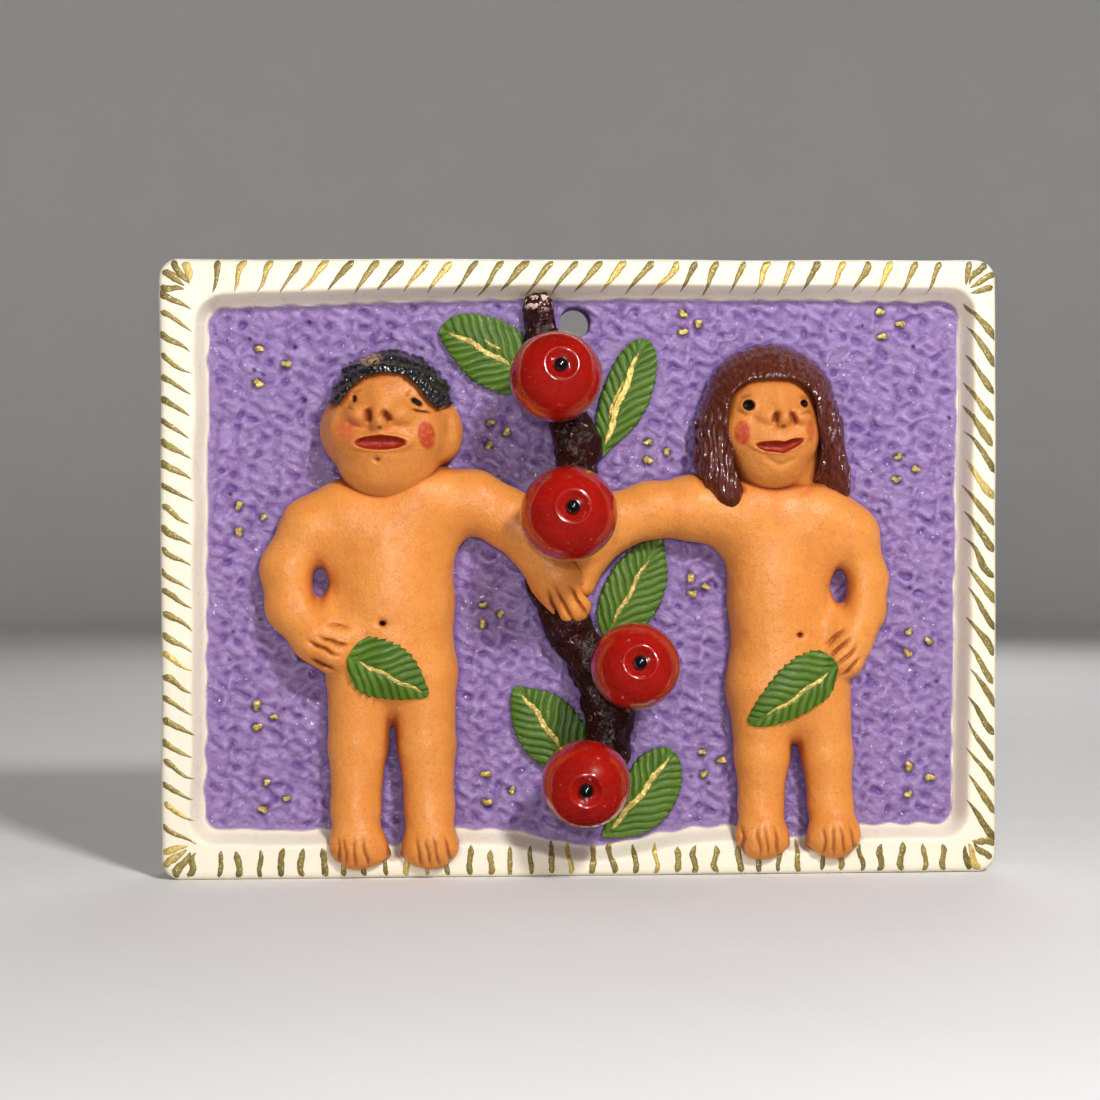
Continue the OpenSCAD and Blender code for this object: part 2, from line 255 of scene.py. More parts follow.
def recess_gap(p):
    """Distance across the face to the edge of the recess floor, which leans, bows and dips."""
    x = p.x - 0.8 - 0.014 * (p.z - HEIGHT / 2)
    dip = 4.2 * np.exp(-(((p.x - 3) / 15) ** 2)) + 4 * np.exp(-(((p.x + 43) / 4) ** 2))
    dip = dip + 2.8 * np.exp(-(((p.x - 49.5) / 6) ** 2)) - 0.8
    bow = 1.5 * (p.x / RECESS_HALF) ** 2 - 0.8 * p.x / RECESS_HALF
    z = p.z + dip * np.clip((40 - p.z) / 20, 0, 1) + bow * np.clip((p.z - 100) / 20, 0, 1)
    edge = rounded_rect(Points(x, z, 0), RECESS_HALF, RECESS_LOW, RECESS_HIGH, RECESS_CORNER)
    return edge + 0.16 * lumps(p, 11, 3, flat=True)


def clear_of_figures(p):
    """Distance across the floor to the clay that stands on it, or to a leaf."""
    floor = Points(p.x, p.z, 0.4)
    gap = tree_trunk(floor)
    for shape in FIGURES:
        gap = np.minimum(gap, shape(floor))
    for leaf in TREE_LEAVES:
        gap = np.minimum(gap, leaf_gap(floor, leaf))
    return gap


# About how far the floor's bumps rise and dip
RELIEF_REACH = 0.42


def ground_relief(p):
    """The hammered floor: rounded bumps, mostly wide ones, that die out beside figures and the border."""
    drift = 0.4 * lumps(p, 3.1, 14, flat=True)
    wide = Points(p.x * 0.74 + drift, p.z - drift, 0)
    relief = 0.3 * lumps(wide, 1.5, 11, flat=True) + 0.32 * np.abs(lumps(wide, 1.7, 13, flat=True))
    relief = relief + 0.16 * np.abs(lumps(wide, 0.95, 15, flat=True))
    relief = relief + 0.1 * lumps(wide, 4, 12, flat=True) - 0.28
    calm = np.minimum(clear_of_figures(p) / 2.4, -recess_gap(p) / 1.6)
    return relief * np.clip(calm, 0.12, 1)


def plaque(p, relief=0.0):
    outer = rounded_rect(p, HALF_WIDTH - INSET, 0, HEIGHT - INSET, CORNER) + WAVY * lumps(p, 16, 4)
    gap = recess_gap(p)
    rise = np.clip(gap / SLOPE, 0, 1)
    height = RISE * rise * rise * (3 - 2 * rise) + WAVY * lumps(p, 9, 5, flat=True) * rise
    height = height + (1 - rise) * relief
    steep = np.hypot(1, RISE / SLOPE * 6 * rise * (1 - rise))
    shape = smooth_max(outer, (p.h - height) / steep, FRONT_ROUND)
    shape = smooth_max(shape, BACK - p.h, BACK_ROUND)
    hole_x, _, hole_z = HANGING_HOLE["pos_m"]
    mouth = HANGING_HOLE["dims"]["r_mm"] - np.hypot(p.x - hole_x / MM, p.z - hole_z / MM)
    return smooth_max(shape, mouth + 0 * p.h, HOLE_ROUND)


def base_slab(p):
    under_border = np.where(recess_gap(p) > 0, p.h, p.h - RISE)
    return np.maximum(plaque(p, ground_relief(p)), under_border)


def raised_border(p):
    """The border, which laps a little way down over the slab's sides and ends just inside them."""
    lap = 0.03 * np.clip(p.h / 1.2 + 1, -1, 1)
    return np.maximum(plaque(p) - lap, np.maximum(-LAP - p.h, -recess_gap(p)))


# --- the tree ---

TRUNK = [
    (-9.6, 129, 2, 3.4), (-8.2, 119, 2, 4.2), (-5.4, 109, 2, 4.2), (-0.5, 98, 2.2, 4.9),
    (-1.5, 88, 2.2, 4.6), (-7, 76, 2.2, 4.6), (-7, 66, 2.2, 4.9), (-3, 57, 2.2, 4.8),
    (3, 47.5, 2.2, 4.8), (6.3, 37, 2.2, 5), (5.8, 28, 2.2, 4.8), (1.8, 16, 2, 4.6),
]
BRANCH_STUB = [(3, 47.5, 2.2, 4.7), (10.8, 45.6, 2.2, 4.6)]


def tree_trunk(p):
    bark = smooth_min(coil(p, TRUNK), coil(p, BRANCH_STUB), 2)
    return bark + 0.34 * lumps(p, 2.8, 21) + 0.16 * lumps(p, 1.2, 22)


# --- the man ---

# A figure from the neck down: the eggs of its torso, each its middle and radii, its legs' balls, its feet as
# foot() takes them, its navel's oval and depth, the balls of its arm on the hip, the lines between that
# hand's fingers, and the oval gap inside that arm
Body = namedtuple("Body", "eggs legs feet navel navel_depth arm fingers arm_gap")


def toe_lines(high, low, *places):
    """The lines between toes, each from where it starts across the face and how far it leans."""
    return [((x, high), (x + lean, low)) for x, lean in places]


ADAM_ARM_REACH = [
    (-36, 86, 2.4, 7.8), (-24, 85.2, 2.4, 6.6), (-17, 81.4, 3, 6.4), (-9.8, 75, 4.6, 6),
    (-5.4, 67.6, 5.2, 6), (-2.6, 61.8, 5.2, 4.9),
]
JOINED_FINGERS = [
    ((-7.6, 64.6), (-5, 58.1)), ((-6, 65.6), (-2.2, 58.4)), ((-2.8, 65.6), (0.5, 60.2)),
    ((-0.3, 66.2), (2, 62.8)),
]
ADAM = Body(
    eggs=[
        ((-43.4, 79, 1.5), (16.2, 13, 9.2)), ((-42.8, 62, 0.8), (14.3, 18, 11.2)),
        ((-43, 47, 1.2), (14.7, 10.5, 9.8)),
    ],
    legs=[
        [(-49.8, 45, 2.2, 7.9), (-50.7, 30, 2.6, 6.6), (-51.2, 16, 3.4, 5.5), (-51, 9, 5.6, 5.5)],
        [(-36.1, 45, 2.2, 7.8), (-35.2, 30, 2.6, 6.5), (-34.6, 16, 3.4, 5.5), (-34.5, 9, 5.6, 5.5)],
    ],
    feet=[
        (-50.6, 7.3, 6.4, 1, toe_lines(9.6, 3.8, (-54.8, 0.1), (-53.4, 0.2), (-51.4, 0.4), (-49.4, 1))),
        (-34.1, 7.2, 6, -1, toe_lines(9.6, 3.8, (-37.4, 0.9), (-35.2, 0.7), (-33.6, 1.1), (-30.9, 0.9))),
    ],
    navel=(-44.8, 57.9, 0.9, 0.7), navel_depth=1.8,
    arm=[
        (-54.5, 82, 2, 7.2), (-60.8, 79, 2.2, 7), (-65.9, 70, 2.6, 6.4), (-64.9, 61.5, 3.2, 6.2),
        (-59.5, 55, 5.6, 5.8), (-55.6, 52, 7, 5.8),
    ],
    fingers=[
        ((-56.4, 57.6), (-52.5, 56.9)), ((-58.4, 54.9), (-52.8, 52.9)), ((-60.9, 53.8), (-54.9, 50.9)),
        ((-60.4, 49.9), (-55.8, 48)),
    ],
    arm_gap=(-58.8, 67.3, 2.3, 5.6),
)


def gap_cut(p, field, oval):
    """Opens an oval hole through the loop that an arm makes."""
    hole = (1 - spot(p, *oval)) * oval[2]
    return smooth_max(field, hole + 0 * p.h, 2.4)


def foot(p, x, z, half_width, toe_side, toes):
    """A foot seen from the front, with the big toe drawn out to a point on one side."""
    toe = (x + toe_side * half_width * 0.72, z - 1.2, 5.6, 2.6)
    point = (x + toe_side * (half_width - 0.4), z - 1.8, 4.8, 1.3)
    sole = merge([egg(p, (x, z, 6.2), (half_width, 5, 5)), rod(p, toe, point)], 2)
    return part_fingers(p, sole, toes)


def torso(p, body):
    clay = eggs(p, 6, *body.eggs)
    clay = merge([clay] + [coil(p, leg, LEG_BLEND) for leg in body.legs], 2)
    clay = merge([clay] + [foot(p, *measures) for measures in body.feet], 2.4)
    navel = body.navel_depth * np.exp(-(spot(p, *body.navel) ** 2))
    return gap_cut(p, clay + navel, body.arm_gap)


def hip_arm(p, body):
    hand = part_fingers(p, coil(p, body.arm, ARM_BLEND), body.fingers)
    return gap_cut(p, hand, body.arm_gap)


def adam_torso(p):
    return torso(p, ADAM)


def adam_arm_hip(p):
    return hip_arm(p, ADAM)


def adam_arm_reach(p):
    return part_fingers(p, coil(p, ADAM_ARM_REACH, ARM_BLEND), JOINED_FINGERS)


# How far the heads stand from where their own measurements put them
ADAM_HEAD_AT, EVE_HEAD_AT, EVE_HAIR_AT = (0.4, -0.6), (-0.8, -0.4), (0.3, -0.3)
ADAM_NOSTRILS = [((-48.2, 106), (-47.8, 103.4)), ((-45, 105.7), (-43.2, 103.6))]
ADAM_EYES = [((-38.5, 108.5), (-36.3, 107.1)), ((-51.3, 109.3), (-51.2, 107.8))]
ADAM_LIDS = [
    ((-38.2, 106), (-34.6, 105.5)), ((-52.8, 106.8), (-51.4, 106)), ((-39.8, 109), (-38.4, 110)),
    ((-51.8, 110), (-49.6, 110.4)),
]
ADAM_NOSE_SIDES = [
    ((-52.6, 103.2), (-49.6, 101.6)), ((-49.6, 101.6), (-46.4, 102)), ((-43.4, 102.4), (-39, 102.2)),
]


def sunk_oval(p, field, oval, depth, lip):
    """Presses an oval into a face, and raises a lip of clay round it."""
    gap = spot(p, *oval)
    return field + depth * np.clip(1 - gap * gap, 0, 1) ** 0.7 - lip * np.exp(-(((gap - 1.12) / 0.22) ** 2))


def adam_skull(p):
    return eggs(p, 5, ((-43.4, 106.2, 4.6), (12.5, 12, 9)), ((-44, 97.5, 5), (12.1, 12.3, 9.4)))


def adam_head(p):
    p = moved(p, *ADAM_HEAD_AT)
    head = smooth_min(adam_skull(p), egg(p, (-55.1, 101.9, 3.2), (4.3, 6.6, 4.8)), 2.6)
    head = smooth_min(head, egg(p, (-31.5, 101.4, 3.4), (4.4, 6.9, 5)), 2.6)
    cheeks = eggs(p, 2, ((-36.8, 101.4, 9.2), (4.4, 5, 4.4)), ((-53, 101.6, 9), (4, 4.6, 4)))
    head = smooth_min(head, cheeks, 3.4)
    head = smooth_min(head, egg(p, (-45.4, 99, 10.8), (8, 4.2, 4)), 3)
    ridge = rod(p, (-45.6, 110.4, 10.8, 2), (-45.6, 103.6, 15, 2.3))
    wings = eggs(p, 1, ((-50, 104.7, 12.3), (3, 2.7, 3.4)), ((-41.2, 104.9, 12.5), (3.4, 2.9, 3.6)))
    head = smooth_min(head, smooth_min(ridge, wings, 1.6), 1.8)
    head = sunk_oval(p, head, (-45.4, 98.7, 5.7, 1.55), 1.5, 0.5)
    head = carve(p, head, ADAM_NOSTRILS, 0.75, 1.3)
    head = carve(p, head, ADAM_EYES, 0.5, 1)
    head = carve(p, head, ADAM_LIDS, 0.4, 0.35)
    head = carve(p, head, ADAM_NOSE_SIDES, 1, 0.45)
    head = head + 0.9 * np.exp(-(spot(p, -46.1, 95, 0.8, 0.6) ** 2))
    return carve(p, head, [((-30.4, 105), (-30.1, 100.4))], 0.8, 0.5)


def strokes_across(across, along, pitch, seed):
    """Carved strands: ridges across a lock, broken up along it."""
    drift = Points(across / pitch * 0.8, along / 3.2, 0)
    wander = lumps(drift, 1.3, seed, flat=True)
    return np.sin(2 * math.pi * across / pitch + 2 * wander)


ADAM_HAIRLINE = [
    (-58.5, 107.6), (-54.6, 107.6), (-51.4, 111.6), (-48.6, 113.6), (-44.4, 114.4), (-40.4, 113.8),
    (-37.6, 111.6), (-34.8, 108), (-32.6, 106), (-29.4, 107.4),
]


def above_line(p, line):
    """Height above a line that runs from left to right across the face."""
    xs, zs = zip(*line)
    return p.z - np.interp(p.x.ravel(), xs, zs).reshape(p.x.shape)


def adam_hair(p):
    p = moved(p, *ADAM_HEAD_AT)
    cap = adam_skull(p) - 1.7
    across = np.arctan2(p.x + 43.4, p.z - 96) * 17
    along = np.hypot(p.x + 43.4, p.z - 96)
    cap = cap + 0.24 * strokes_across(across, along, 1.4, 31) + 0.16 * strokes_across(along, across, 1.7, 33)
    cap = cap + 0.3 * lumps(p, 2.4, 32)
    cap = smooth_max(cap, -above_line(p, ADAM_HAIRLINE) + 0 * p.h, 0.9)
    return np.maximum(cap, -adam_skull(p) - 1)


# --- the woman ---

EVE = Body(
    eggs=[
        ((46.4, 79, 1.5), (15, 12.4, 8.6)), ((45.2, 63, 0.8), (11.7, 17.5, 10.2)),
        ((47.1, 44, 1.2), (13.8, 14, 9.6)),
    ],
    legs=[
        [(41.5, 42, 2.2, 7.9), (41.4, 27, 2.6, 6.2), (41, 15.5, 3.4, 5), (40.8, 9.5, 5.6, 5)],
        [(54, 42, 2.2, 7.9), (56.3, 27, 2.6, 5.8), (57, 15.5, 3.4, 5), (57.4, 9.5, 5.6, 5)],
    ],
    feet=[
        (40.7, 8.8, 5.8, 1, toe_lines(11, 5.4, (36.1, 0.4), (39.1, 0.8), (41, 0.9), (43.2, 0.9))),
        (57.5, 9, 5.7, -1, toe_lines(11, 5.4, (54.4, 0.4), (56.3, 0.3), (58.2, 0.8), (60.4, 1.2))),
    ],
    navel=(49.1, 54.7, 0.8, 0.6), navel_depth=1.5,
    arm=[
        (55.8, 80.5, 2, 7), (61.4, 77.2, 2.2, 6.6), (64.8, 67, 2.6, 5.3), (64, 60, 3.4, 5.3),
        (61.2, 54, 5.4, 5), (59.4, 49.4, 6.6, 5),
    ],
    fingers=[
        ((58.6, 55.6), (55.4, 52.4)), ((60.1, 53.8), (56, 50)), ((61.4, 51.7), (57.6, 47.9)),
        ((62.2, 49.3), (58.7, 45.7)),
    ],
    arm_gap=(58.9, 66.3, 2.5, 6.2),
)
EVE_ARM_REACH = [
    (36.5, 82.6, 2.4, 8), (26, 83.5, 2.4, 7.2), (15.5, 83, 3, 6.1), (7.5, 80.4, 3.6, 6.2), (1.2, 75, 4.2, 6),
    (-0.6, 66.8, 4.4, 4),
]
EVE_LOCK_LEFT = [
    (37, 110, 2.6, 8), (33, 102, 3, 6.8), (31.7, 95, 4.4, 5.8), (32, 90, 6.6, 4.3),
    (33.2, 86.2, 8, 3.2),
]
EVE_LOCK_RIGHT = [
    (49.2, 108.6, 2.6, 8), (53, 101, 2.6, 6.2), (56.2, 94, 3, 4.3), (57.8, 90, 3.4, 3),
    (59.2, 87.4, 4, 1.8),
]


def eve_torso(p):
    return torso(p, EVE)


def eve_arm_hip(p):
    return hip_arm(p, EVE)


def eve_arm_reach(p):
    return coil(p, EVE_ARM_REACH, ARM_BLEND)


EVE_NOSTRILS = [((44.1, 105.1), (43.5, 103)), ((47.1, 105), (48.3, 102.7))]
EVE_LIDS = [
    ((35.4, 105.8), (37.6, 104.5)), ((48.8, 104.6), (52.4, 105.6)), ((36.2, 108.6), (38.6, 109)),
    ((49.6, 108.6), (51.6, 108.4)),
]
EVE_NOSE_SIDES = [((38.6, 103.6), (42.4, 102)), ((42.4, 102), (44.2, 102.2)), ((46.6, 102.2), (50.2, 102.2))]
EVE_CHIN = [((41.8, 94.9), (45, 93.2)), ((45, 93.2), (48.2, 94.9))]


def smiling(p):
    """The face with the mouth's curve straightened out, so that an oval on it is a smile."""
    out = p.x - 44
    bend = 0.03 * out**2 + 0.06 * out - 0.4 * np.exp(-((out - 1.6) ** 2))
    return Points(p.x, p.z - bend, p.h)


def eve_skull(p):
    return eggs(p, 5, ((43.7, 105.6, 4.6), (10.6, 10.8, 9.4)), ((44, 97.3, 5.2), (9.9, 9.7, 9.2)))


def eve_head(p):
    p = moved(p, *EVE_HEAD_AT)
    cheeks = eggs(p, 2, ((37, 100.8, 8.6), (3.8, 4.6, 4.2)), ((50.6, 101, 8.6), (3.4, 4.4, 4)))
    head = smooth_min(eve_skull(p), egg(p, (51, 93.4, 2.4), (4.6, 8, 5)), 2.5)
    head = smooth_min(head, cheeks, 3)
    head = smooth_min(head, egg(p, (44.8, 98.4, 10.4), (7, 4, 3.8)), 3)
    ridge = rod(p, (44.6, 109.6, 11, 1.8), (45.4, 103.8, 14.8, 2))
    wings = eggs(p, 1, ((42.2, 104, 12), (2.5, 2.2, 3)), ((49, 104.1, 11.8), (2.8, 2.3, 3.2)))
    head = smooth_min(head, smooth_min(ridge, wings, 1.4), 1.6)
    head = sunk_oval(smiling(p), head, (44.7, 97.5, 5.5, 1.3), 1.4, 0.45)
    head = carve(p, head, EVE_NOSTRILS, 0.7, 1.2)
    head = sunk_oval(p, head, (38, 106.8, 1.35, 1.3), 1.2, 0.35)
    head = sunk_oval(p, head, (50.6, 107.2, 1, 0.95), 1, 0.3)
    head = carve(p, head, EVE_LIDS, 0.4, 0.4)
    head = carve(p, head, EVE_NOSE_SIDES, 0.9, 0.4)
    return carve(p, head, EVE_CHIN, 0.6, 0.45)


def eve_face_window(p):
    """Where hair leaves the face clear, as a distance across the face."""
    brow = rounded_rect(Points(p.x - 43.7, p.z, 0), 9.9, 95, 112.6, 7)
    chin = (spot(p, 44.8, 96.4, 9.9, 12.4) - 1) * 10
    return smooth_min(brow, chin, 1)


def eve_hair(p):
    face = eve_face_window(moved(p, *EVE_HEAD_AT))
    p = moved(p, *EVE_HAIR_AT)
    cap = smooth_min(eve_skull(p) - 1.2, egg(p, (42.7, 106.4, 3), (13.2, 14.7, 10.6)), 3)
    hair = merge([cap, coil(p, EVE_LOCK_LEFT), coil(p, EVE_LOCK_RIGHT)], 4)
    side = np.where(p.x < 43.6, -1.0, 1.0)
    fan = np.arctan2(p.x - 43, p.z - 98) * 15
    down = np.clip((112 - p.z) / 10, 0, 1)
    across = fan * (1 - down) + side * 1.1 * np.abs(p.x - 43) * down
    along = np.where(p.z > 108, np.hypot(p.x - 43, p.z - 98), 130 - p.z)
    locks = (0.16 + 0.1 * np.clip((110 - p.z) / 6, 0, 1)) * np.clip((p.z - 86) / 4, 0.15, 1)
    hair = hair + locks * strokes_across(across, along, 1.45, 41) + 0.12 * lumps(p, 1.6, 42)
    return smooth_max(hair, -face + 0 * p.h, 1)


FIGURES = [
    adam_torso, adam_arm_hip, adam_arm_reach, adam_head, adam_hair,
    eve_torso, eve_arm_hip, eve_arm_reach, eve_head, eve_hair,
]


def everything(p):
    """All the clay, for working out where shade is painted in creases."""
    total = plaque(p)
    for shape in FIGURES + [tree_trunk]:
        total = np.minimum(total, shape(p))
    return total


# --- from fields to meshes ---

# How far apart the grid's points are for the plaque, the trunk and the figures, how far clay reaches under
# the recess floor, and how far down and up a figure's grid goes
PLAQUE_STEP, TRUNK_STEP, FIGURE_STEP = 0.44, 0.4, 0.36
SINK, UNDER, HEAD_TOP = 0.5, -1.5, 20


def to_row(x, z, h):
    """A face-frame place in millimetres, as a place in the row frame in metres."""
    return np.stack([np.asarray(x) * MM, FLOOR_Y - np.asarray(h) * MM, np.asarray(z) * MM], axis=-1)


def finish_piece(piece, material, slot, nodes=(), body="plaque"):
    piece.data.materials.append(material)
    piece.data.shade_smooth()
    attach(piece, body)
    if nodes:
        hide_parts(*nodes)
    return piece


def new_piece(name, vertices, faces):
    mesh = bpy.data.meshes.new(name)
    mesh.from_pydata(vertices.tolist(), [], faces if isinstance(faces, list) else faces.tolist())
    mesh.validate()
    piece = bpy.data.objects.new(name, mesh)
    bpy.context.scene.collection.objects.link(piece)
    return piece


def set_attribute(piece, name, values):
    """Stores a number from 0 to 1 at each vertex, for the paint to read."""
    attribute = piece.data.attributes.new(name, "FLOAT", "POINT")
    attribute.data.foreach_set("value", np.ascontiguousarray(np.clip(values, 0, 1), np.float32))


def vertex_points(piece, offset=0.0):
    """The vertices in the face frame, moved out along their normals by offset millimetres."""
    mesh = piece.data
    places = np.zeros(len(mesh.vertices) * 3, np.float32)
    normals = np.zeros(len(mesh.vertices) * 3, np.float32)
    mesh.vertices.foreach_get("co", places)
    mesh.vertex_normals.foreach_get("vector", normals)
    places = places.reshape(-1, 3) / MM + normals.reshape(-1, 3) * offset
    return Points(places[:, 0], places[:, 2], FLOOR_Y / MM - places[:, 1])


def add_crease_shade(piece, reach=2.6):
    """Stores painted shade for each vertex: how closed in it is, from 0 in the open to 1 where the clay closes in
    tightly.
    """
    near = np.clip(1 - everything(vertex_points(piece, 0.9)) / 0.9, 0, 1)
    wide = np.clip(1 - everything(vertex_points(piece, reach)) / reach, 0, 1)
    set_attribute(piece, "crease_shade", 0.5 * near + 0.7 * wide)


def sculpt(name, shape, low, high, step):
    """Meshes a field between two corners, each x, z and h, on a grid of points a step apart."""
    axes = [np.arange(a, b + step, step, dtype=np.float32) for a, b in zip(low, high)]
    band = 3 * step
    distance = shape(Points(*np.meshgrid(*axes, indexing="ij", sparse=True)))
    volume = openvdb.FloatGrid(band)
    volume.copyFromArray(np.clip(distance, -band, band).astype(np.float32))
    points, triangles, quads = volume.convertToPolygons(isovalue=0.0, adaptivity=0.0)
    x, z, h = (points * step + np.array(low)).T
    return new_piece(name, to_row(x, z, h), triangles.tolist() + quads.tolist())


def on_floor(shape):
    """A shape cut off just under the recess floor."""
    return lambda p: np.maximum(shape(p), -SINK - p.h)


def joined(limb, other):
    """A limb with the clay smoothed on to another, and sunk a hair's breadth where the other is nearer."""
    def field(p):
        near, far = limb(p), other(p)
        blend = 1.8 + 4 * np.clip((p.z - 51) / 6, 0, 1)
        sunk = 0.05 * np.clip((near - far) / blend, 0, 1)
        return np.maximum(smooth_min(near, far, blend) + sunk, near - blend)
    return field


def both(first, second):
    return lambda p: smooth_min(first(p), second(p), 3)


def surface(shape, x, z, top=24.0):
    """The height of a shape's front surface at places on the face."""
    height = np.full(np.shape(x), top, float)
    for _ in range(60):
        gap = shape(Points(x, z, height))
        height = np.maximum(height - 0.7 * gap, BACK)
    return height


def solid_patch(x, z, high, low):
    """Vertices and faces of a closed solid between two heights over a grid of places on the face."""
    rows, columns = x.shape
    under = rows * columns
    grid = np.arange(under).reshape(rows, columns)
    cells = np.stack([grid[:-1, :-1], grid[1:, :-1], grid[1:, 1:], grid[:-1, 1:]], -1).reshape(-1, 4)
    rim = np.concatenate([grid[0, :-1], grid[:-1, -1], grid[-1, :0:-1], grid[:0:-1, 0]])
    ahead = np.roll(rim, -1)
    sides = np.stack([rim, ahead, ahead + under, rim + under], -1)
    faces = np.concatenate([cells, cells[:, ::-1] + under, sides])
    vertices = np.concatenate([to_row(x, z, h).reshape(-1, 3) for h in (high, low)])
    return vertices, faces


def joined_patches(name, patches):
    """One piece from many closed patches, each its vertices, its faces and how brightly it shines."""
    vertices, faces, shine, used = [], [], [], 0
    for patch_vertices, patch_faces, bright in patches:
        vertices.append(patch_vertices)
        faces += [tuple(dict.fromkeys(face)) for face in (patch_faces + used).tolist()]
        shine.append(np.broadcast_to(bright, len(patch_vertices)))
        used += len(patch_vertices)
    piece = new_piece(name, np.concatenate(vertices), faces)
    set_attribute(piece, "shine", np.concatenate(shine))
    return piece


def turned(out, along, axis, sides):
    """Places on a profile turned round an axis, and faces from each ring to the next, round to the first."""
    side = np.array(Vector(axis).orthogonal().normalized())
    turn = np.linspace(0, 2 * math.pi, sides, endpoint=False)[:, None, None]
    ring = np.cos(turn) * side + np.sin(turn) * np.cross(axis, side)
    grid = np.arange(sides * len(out)).reshape(sides, -1)
    onward = np.roll(grid, -1, axis=1)
    faces = np.stack([grid, onward, np.roll(onward, -1, axis=0), np.roll(grid, -1, axis=0)], -1)
    return out[:, None] * ring + along[:, None] * axis, faces


# --- paints ---

# How strongly every paint reflects: less than bare gloss, as dry acrylic does
SHEEN = 0.2


class Paint:
    """A procedural paint: one Principled shader and the nodes that feed it."""

    def __init__(self, name, color, roughness, metallic=0.0, coat=0.0, coat_roughness=0.1):
        self.material = bpy.data.materials.new(name)
        self.material.use_nodes = True
        self.tree = self.material.node_tree
        self.shader = self.tree.nodes["Principled BSDF"]
        for socket, number in (
            ("Metallic", metallic), ("Specular IOR Level", SHEEN), ("Roughness", roughness),
            ("Coat Weight", coat), ("Coat Roughness", coat_roughness),
        ):
            self.shader.inputs[socket].default_value = number
        self.place = self.tree.nodes.new("ShaderNodeTexCoord").outputs["Object"]
        base = self.tree.nodes.new("ShaderNodeRGB")
        base.outputs[0].default_value = (*color, 1)
        self.color = base.outputs[0]

    def noise(self, size, detail=2.0, distortion=0.0, stretch=(1, 1, 1)):
        """Noise from 0 to 1 with features about size millimetres across."""
        mapping = self.tree.nodes.new("ShaderNodeMapping")
        mapping.inputs["Scale"].default_value = stretch
        node = self.tree.nodes.new("ShaderNodeTexNoise")
        node.inputs["Scale"].default_value = 1 / (size * MM)
        node.inputs["Detail"].default_value = detail
        node.inputs["Distortion"].default_value = distortion
        self.tree.links.new(self.place, mapping.inputs["Vector"])
        self.tree.links.new(mapping.outputs["Vector"], node.inputs["Vector"])
        return node.outputs["Fac"]

    def attribute(self, name):
        node = self.tree.nodes.new("ShaderNodeAttribute")
        node.attribute_name = name
        return node.outputs["Fac"]

    def span(self, value, low, high, to_low=0.0, to_high=1.0):
        """Maps low to high smoothly on to to_low to to_high."""
        node = self.tree.nodes.new("ShaderNodeMapRange")
        node.interpolation_type = "SMOOTHSTEP"
        self.tree.links.new(value, node.inputs["Value"])
        ends = {"From Min": low, "From Max": high, "To Min": to_low, "To Max": to_high}
        for socket, number in ends.items():
            node.inputs[socket].default_value = number
        return node.outputs["Result"]

    def times(self, a, b):
        node = self.tree.nodes.new("ShaderNodeMath")
        node.operation = "MULTIPLY"
        for value, socket in zip((a, b), node.inputs):
            if isinstance(value, (int, float)):
                socket.default_value = value
            else:
                self.tree.links.new(value, socket)
        return node.outputs[0]

    def layer(self, factor, color):
        """Lays a colour over what is there, as thick as factor says."""
        node = self.tree.nodes.new("ShaderNodeMix")
        node.data_type = "RGBA"
        self.tree.links.new(factor, node.inputs["Factor"])
        self.tree.links.new(self.color, node.inputs["A"])
        node.inputs["B"].default_value = (*color, 1)
        self.color = node.outputs["Result"]

    def mottle(self, noise, low, high, strength, color):
        """Lays a colour over where noise, given as noise() takes it, goes from low to high."""
        self.layer(self.span(self.noise(*noise), low, high, 0, strength), color)

    def wash(self, name, low, high, strength, color):
        """Lays a colour over where an attribute of the mesh goes from low to high."""
        self.layer(self.span(self.attribute(name), low, high, 0, strength), color)

    def rough(self, noise, low, high, at_low, at_high):
        """Makes the gloss uneven: roughness goes from at_low to at_high as noise goes from low to high."""
        uneven = self.span(self.noise(*noise), low, high, at_low, at_high)
        self.tree.links.new(uneven, self.shader.inputs["Roughness"])

    def bump(self, height, depth, strength=1.0):
        """Relief from a height of 0 to 1 that is depth millimetres deep."""
        node = self.tree.nodes.new("ShaderNodeBump")
        node.inputs["Strength"].default_value = strength
        node.inputs["Distance"].default_value = depth * MM
        self.tree.links.new(height, node.inputs["Height"])
        before = self.shader.inputs["Normal"].links
        if before:
            self.tree.links.new(before[0].from_socket, node.inputs["Normal"])
        self.tree.links.new(node.outputs["Normal"], self.shader.inputs["Normal"])

    def done(self):
        self.tree.links.new(self.color, self.shader.inputs["Base Color"])
        return self.material


